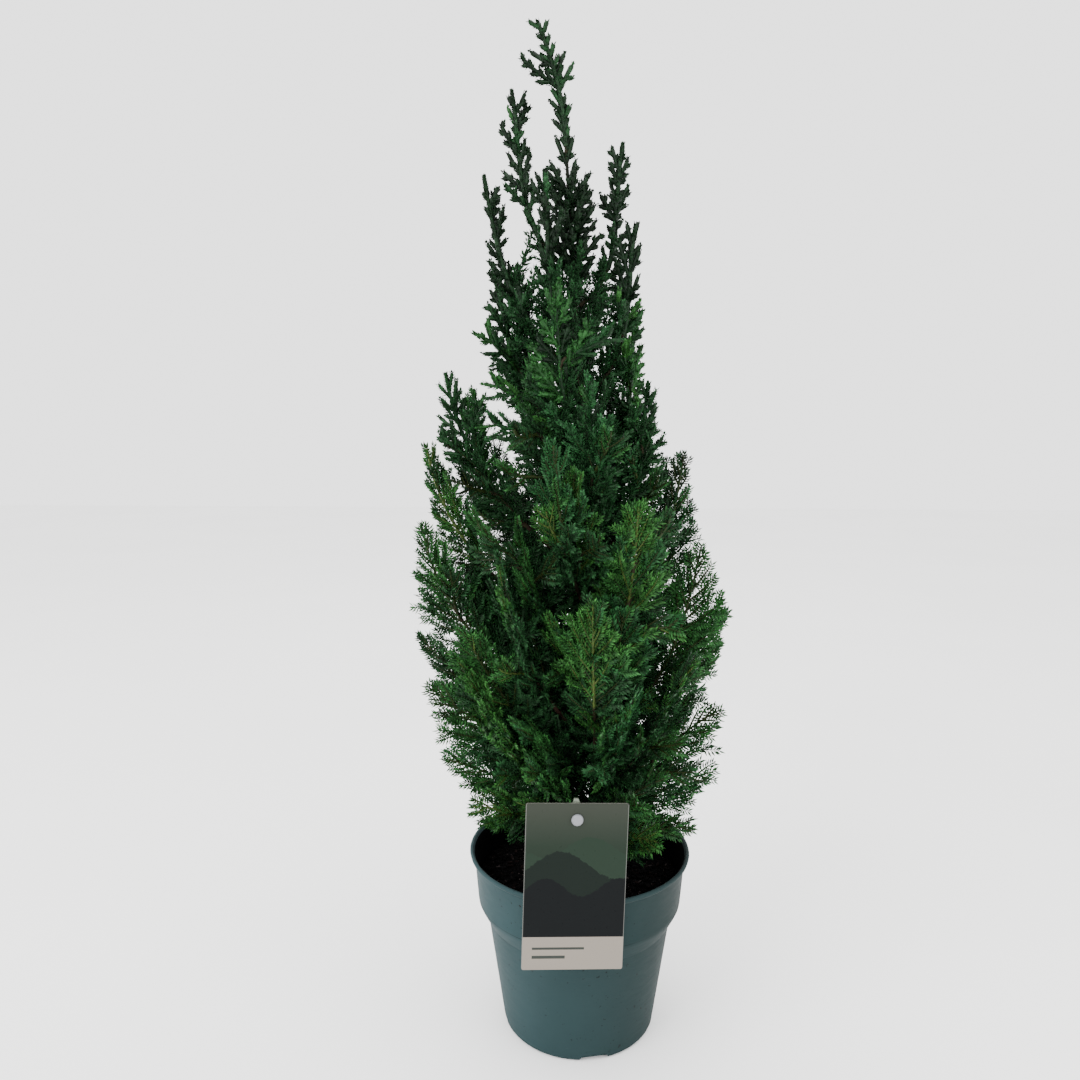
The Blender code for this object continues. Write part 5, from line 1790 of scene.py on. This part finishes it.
def make_stake():
    """A flat pale stake, cut to a point, and the domed button that holds the card."""
    place, to_hole = stake_frame()
    top = to_hole + STAKE_ABOVE_HOLE
    deselect()
    bpy.ops.mesh.primitive_cube_add(size=1.0)
    stake = start_piece("label_stake_blade")
    stake.data.transform(Matrix.Diagonal((STAKE_WIDTH, STAKE_THICKNESS, top, 1.0)))
    stake.data.transform(Matrix.Translation((0.0, 0.0, top / 2)))
    bpy.ops.object.mode_set(mode="EDIT")
    for height in (STAKE_POINT, top - STAKE_CHAMFER):
        bpy.ops.mesh.select_all(action="SELECT")
        bpy.ops.mesh.bisect(plane_co=(0.0, 0.0, height), plane_no=(0.0, 0.0, 1.0))
    bpy.ops.object.mode_set(mode="OBJECT")
    for vertex in stake.data.vertices:
        if vertex.co.z < 1e-6:
            vertex.co.x *= STAKE_POINT_SHARE
        if vertex.co.z > top - 1e-6:
            vertex.co.x *= STAKE_TOP_SHARE
    round_edges(stake, STAKE_ROUNDING, 2)
    stake.data.transform(place)
    smooth(stake, 40)
    give(stake, plain_plastic("stake_plastic", (0.10, 0.12, 0.09), 0.40))
    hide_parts("label_stake")
    ahead = CARD_THICKNESS / 2
    dome = [math.radians(a) for a in (75, 60, 45, 30, 15, 0)]
    rise = BUTTON_HEIGHT - BUTTON_BRIM
    profile = [(BUTTON_RADIUS * math.cos(a), ahead + BUTTON_BRIM + rise * math.sin(a)) for a in dome]
    profile += [(BUTTON_RADIUS, ahead + 0.0002), (BUTTON_RADIUS - 0.0003, ahead + 0.00002)]
    behind = CARD_THICKNESS / 2 + STAKE_STANDOFF + STAKE_THICKNESS * 0.5
    profile += [(PEG_RADIUS, ahead + 0.00001), (PEG_RADIUS, -behind)]
    button = turned_shell("label_button", profile, BUTTON_SIDES)
    hole = card_frame() @ Matrix.Translation((0.0, CARD_HEIGHT / 2 - HOLE_BELOW_TOP, 0.0))
    button.data.transform(hole)
    smooth(button, 40)
    give(button, plain_plastic("button_plastic", (0.160, 0.165, 0.180), 0.42))


# Stage


def make_stage():
    deselect()
    bpy.ops.mesh.primitive_plane_add(size=FLOOR_SIZE, location=(0.0, 0.0, FLOOR_LEVEL))
    floor = start_piece("studio_floor")
    made, shader, place = start_material("pale_floor", (0.93, 0.93, 0.925), 0.7)
    field = noise_field(made, place, 3.0, 2.0)
    stops = [(0.3, (0.915, 0.915, 0.91)), (0.7, (0.945, 0.945, 0.94))]
    paint(made, shader, ramp(made, field, stops))
    floor.data.materials.append(made)
    world = bpy.data.worlds.new("studio")
    bpy.context.scene.world = world
    world.use_nodes = True
    world.node_tree.nodes["Background"].inputs["Color"].default_value = (1.0, 1.0, 1.0, 1.0)
    world.node_tree.nodes["Background"].inputs["Strength"].default_value = SKY_STRENGTH


def soft_light(name, place, size, power):
    data = bpy.data.lights.new(name, "AREA")
    data.shape = "RECTANGLE"
    data.size = size
    data.size_y = size
    data.energy = power
    lamp = add_object(name, data)
    lamp.location = place
    lamp.rotation_euler = (Vector(LIGHT_TARGET) - Vector(place)).to_track_quat("-Z", "Y").to_euler()


def make_camera():
    data = bpy.data.cameras.new("photo_camera")
    data.sensor_width = SENSOR_WIDTH
    data.lens = CAMERA_LENS
    data.clip_start = 0.01
    camera = add_object("photo_camera", data)
    camera.location = CAMERA_PLACE
    camera.rotation_euler = (math.radians(90) + CAMERA_PITCH, 0.0, CAMERA_YAW)
    bpy.context.scene.camera = camera


def main():
    bark = bark_material("reddish_bark", *BARK_BROWNS, YOUNG_BARK_FROM)
    make_pot()
    make_soil()
    make_crumbs()
    make_trunk(bark)
    make_crown(bark)
    make_card()
    make_stake()
    make_stage()
    for softbox in SOFTBOXES:
        soft_light(*softbox)
    make_camera()


main()
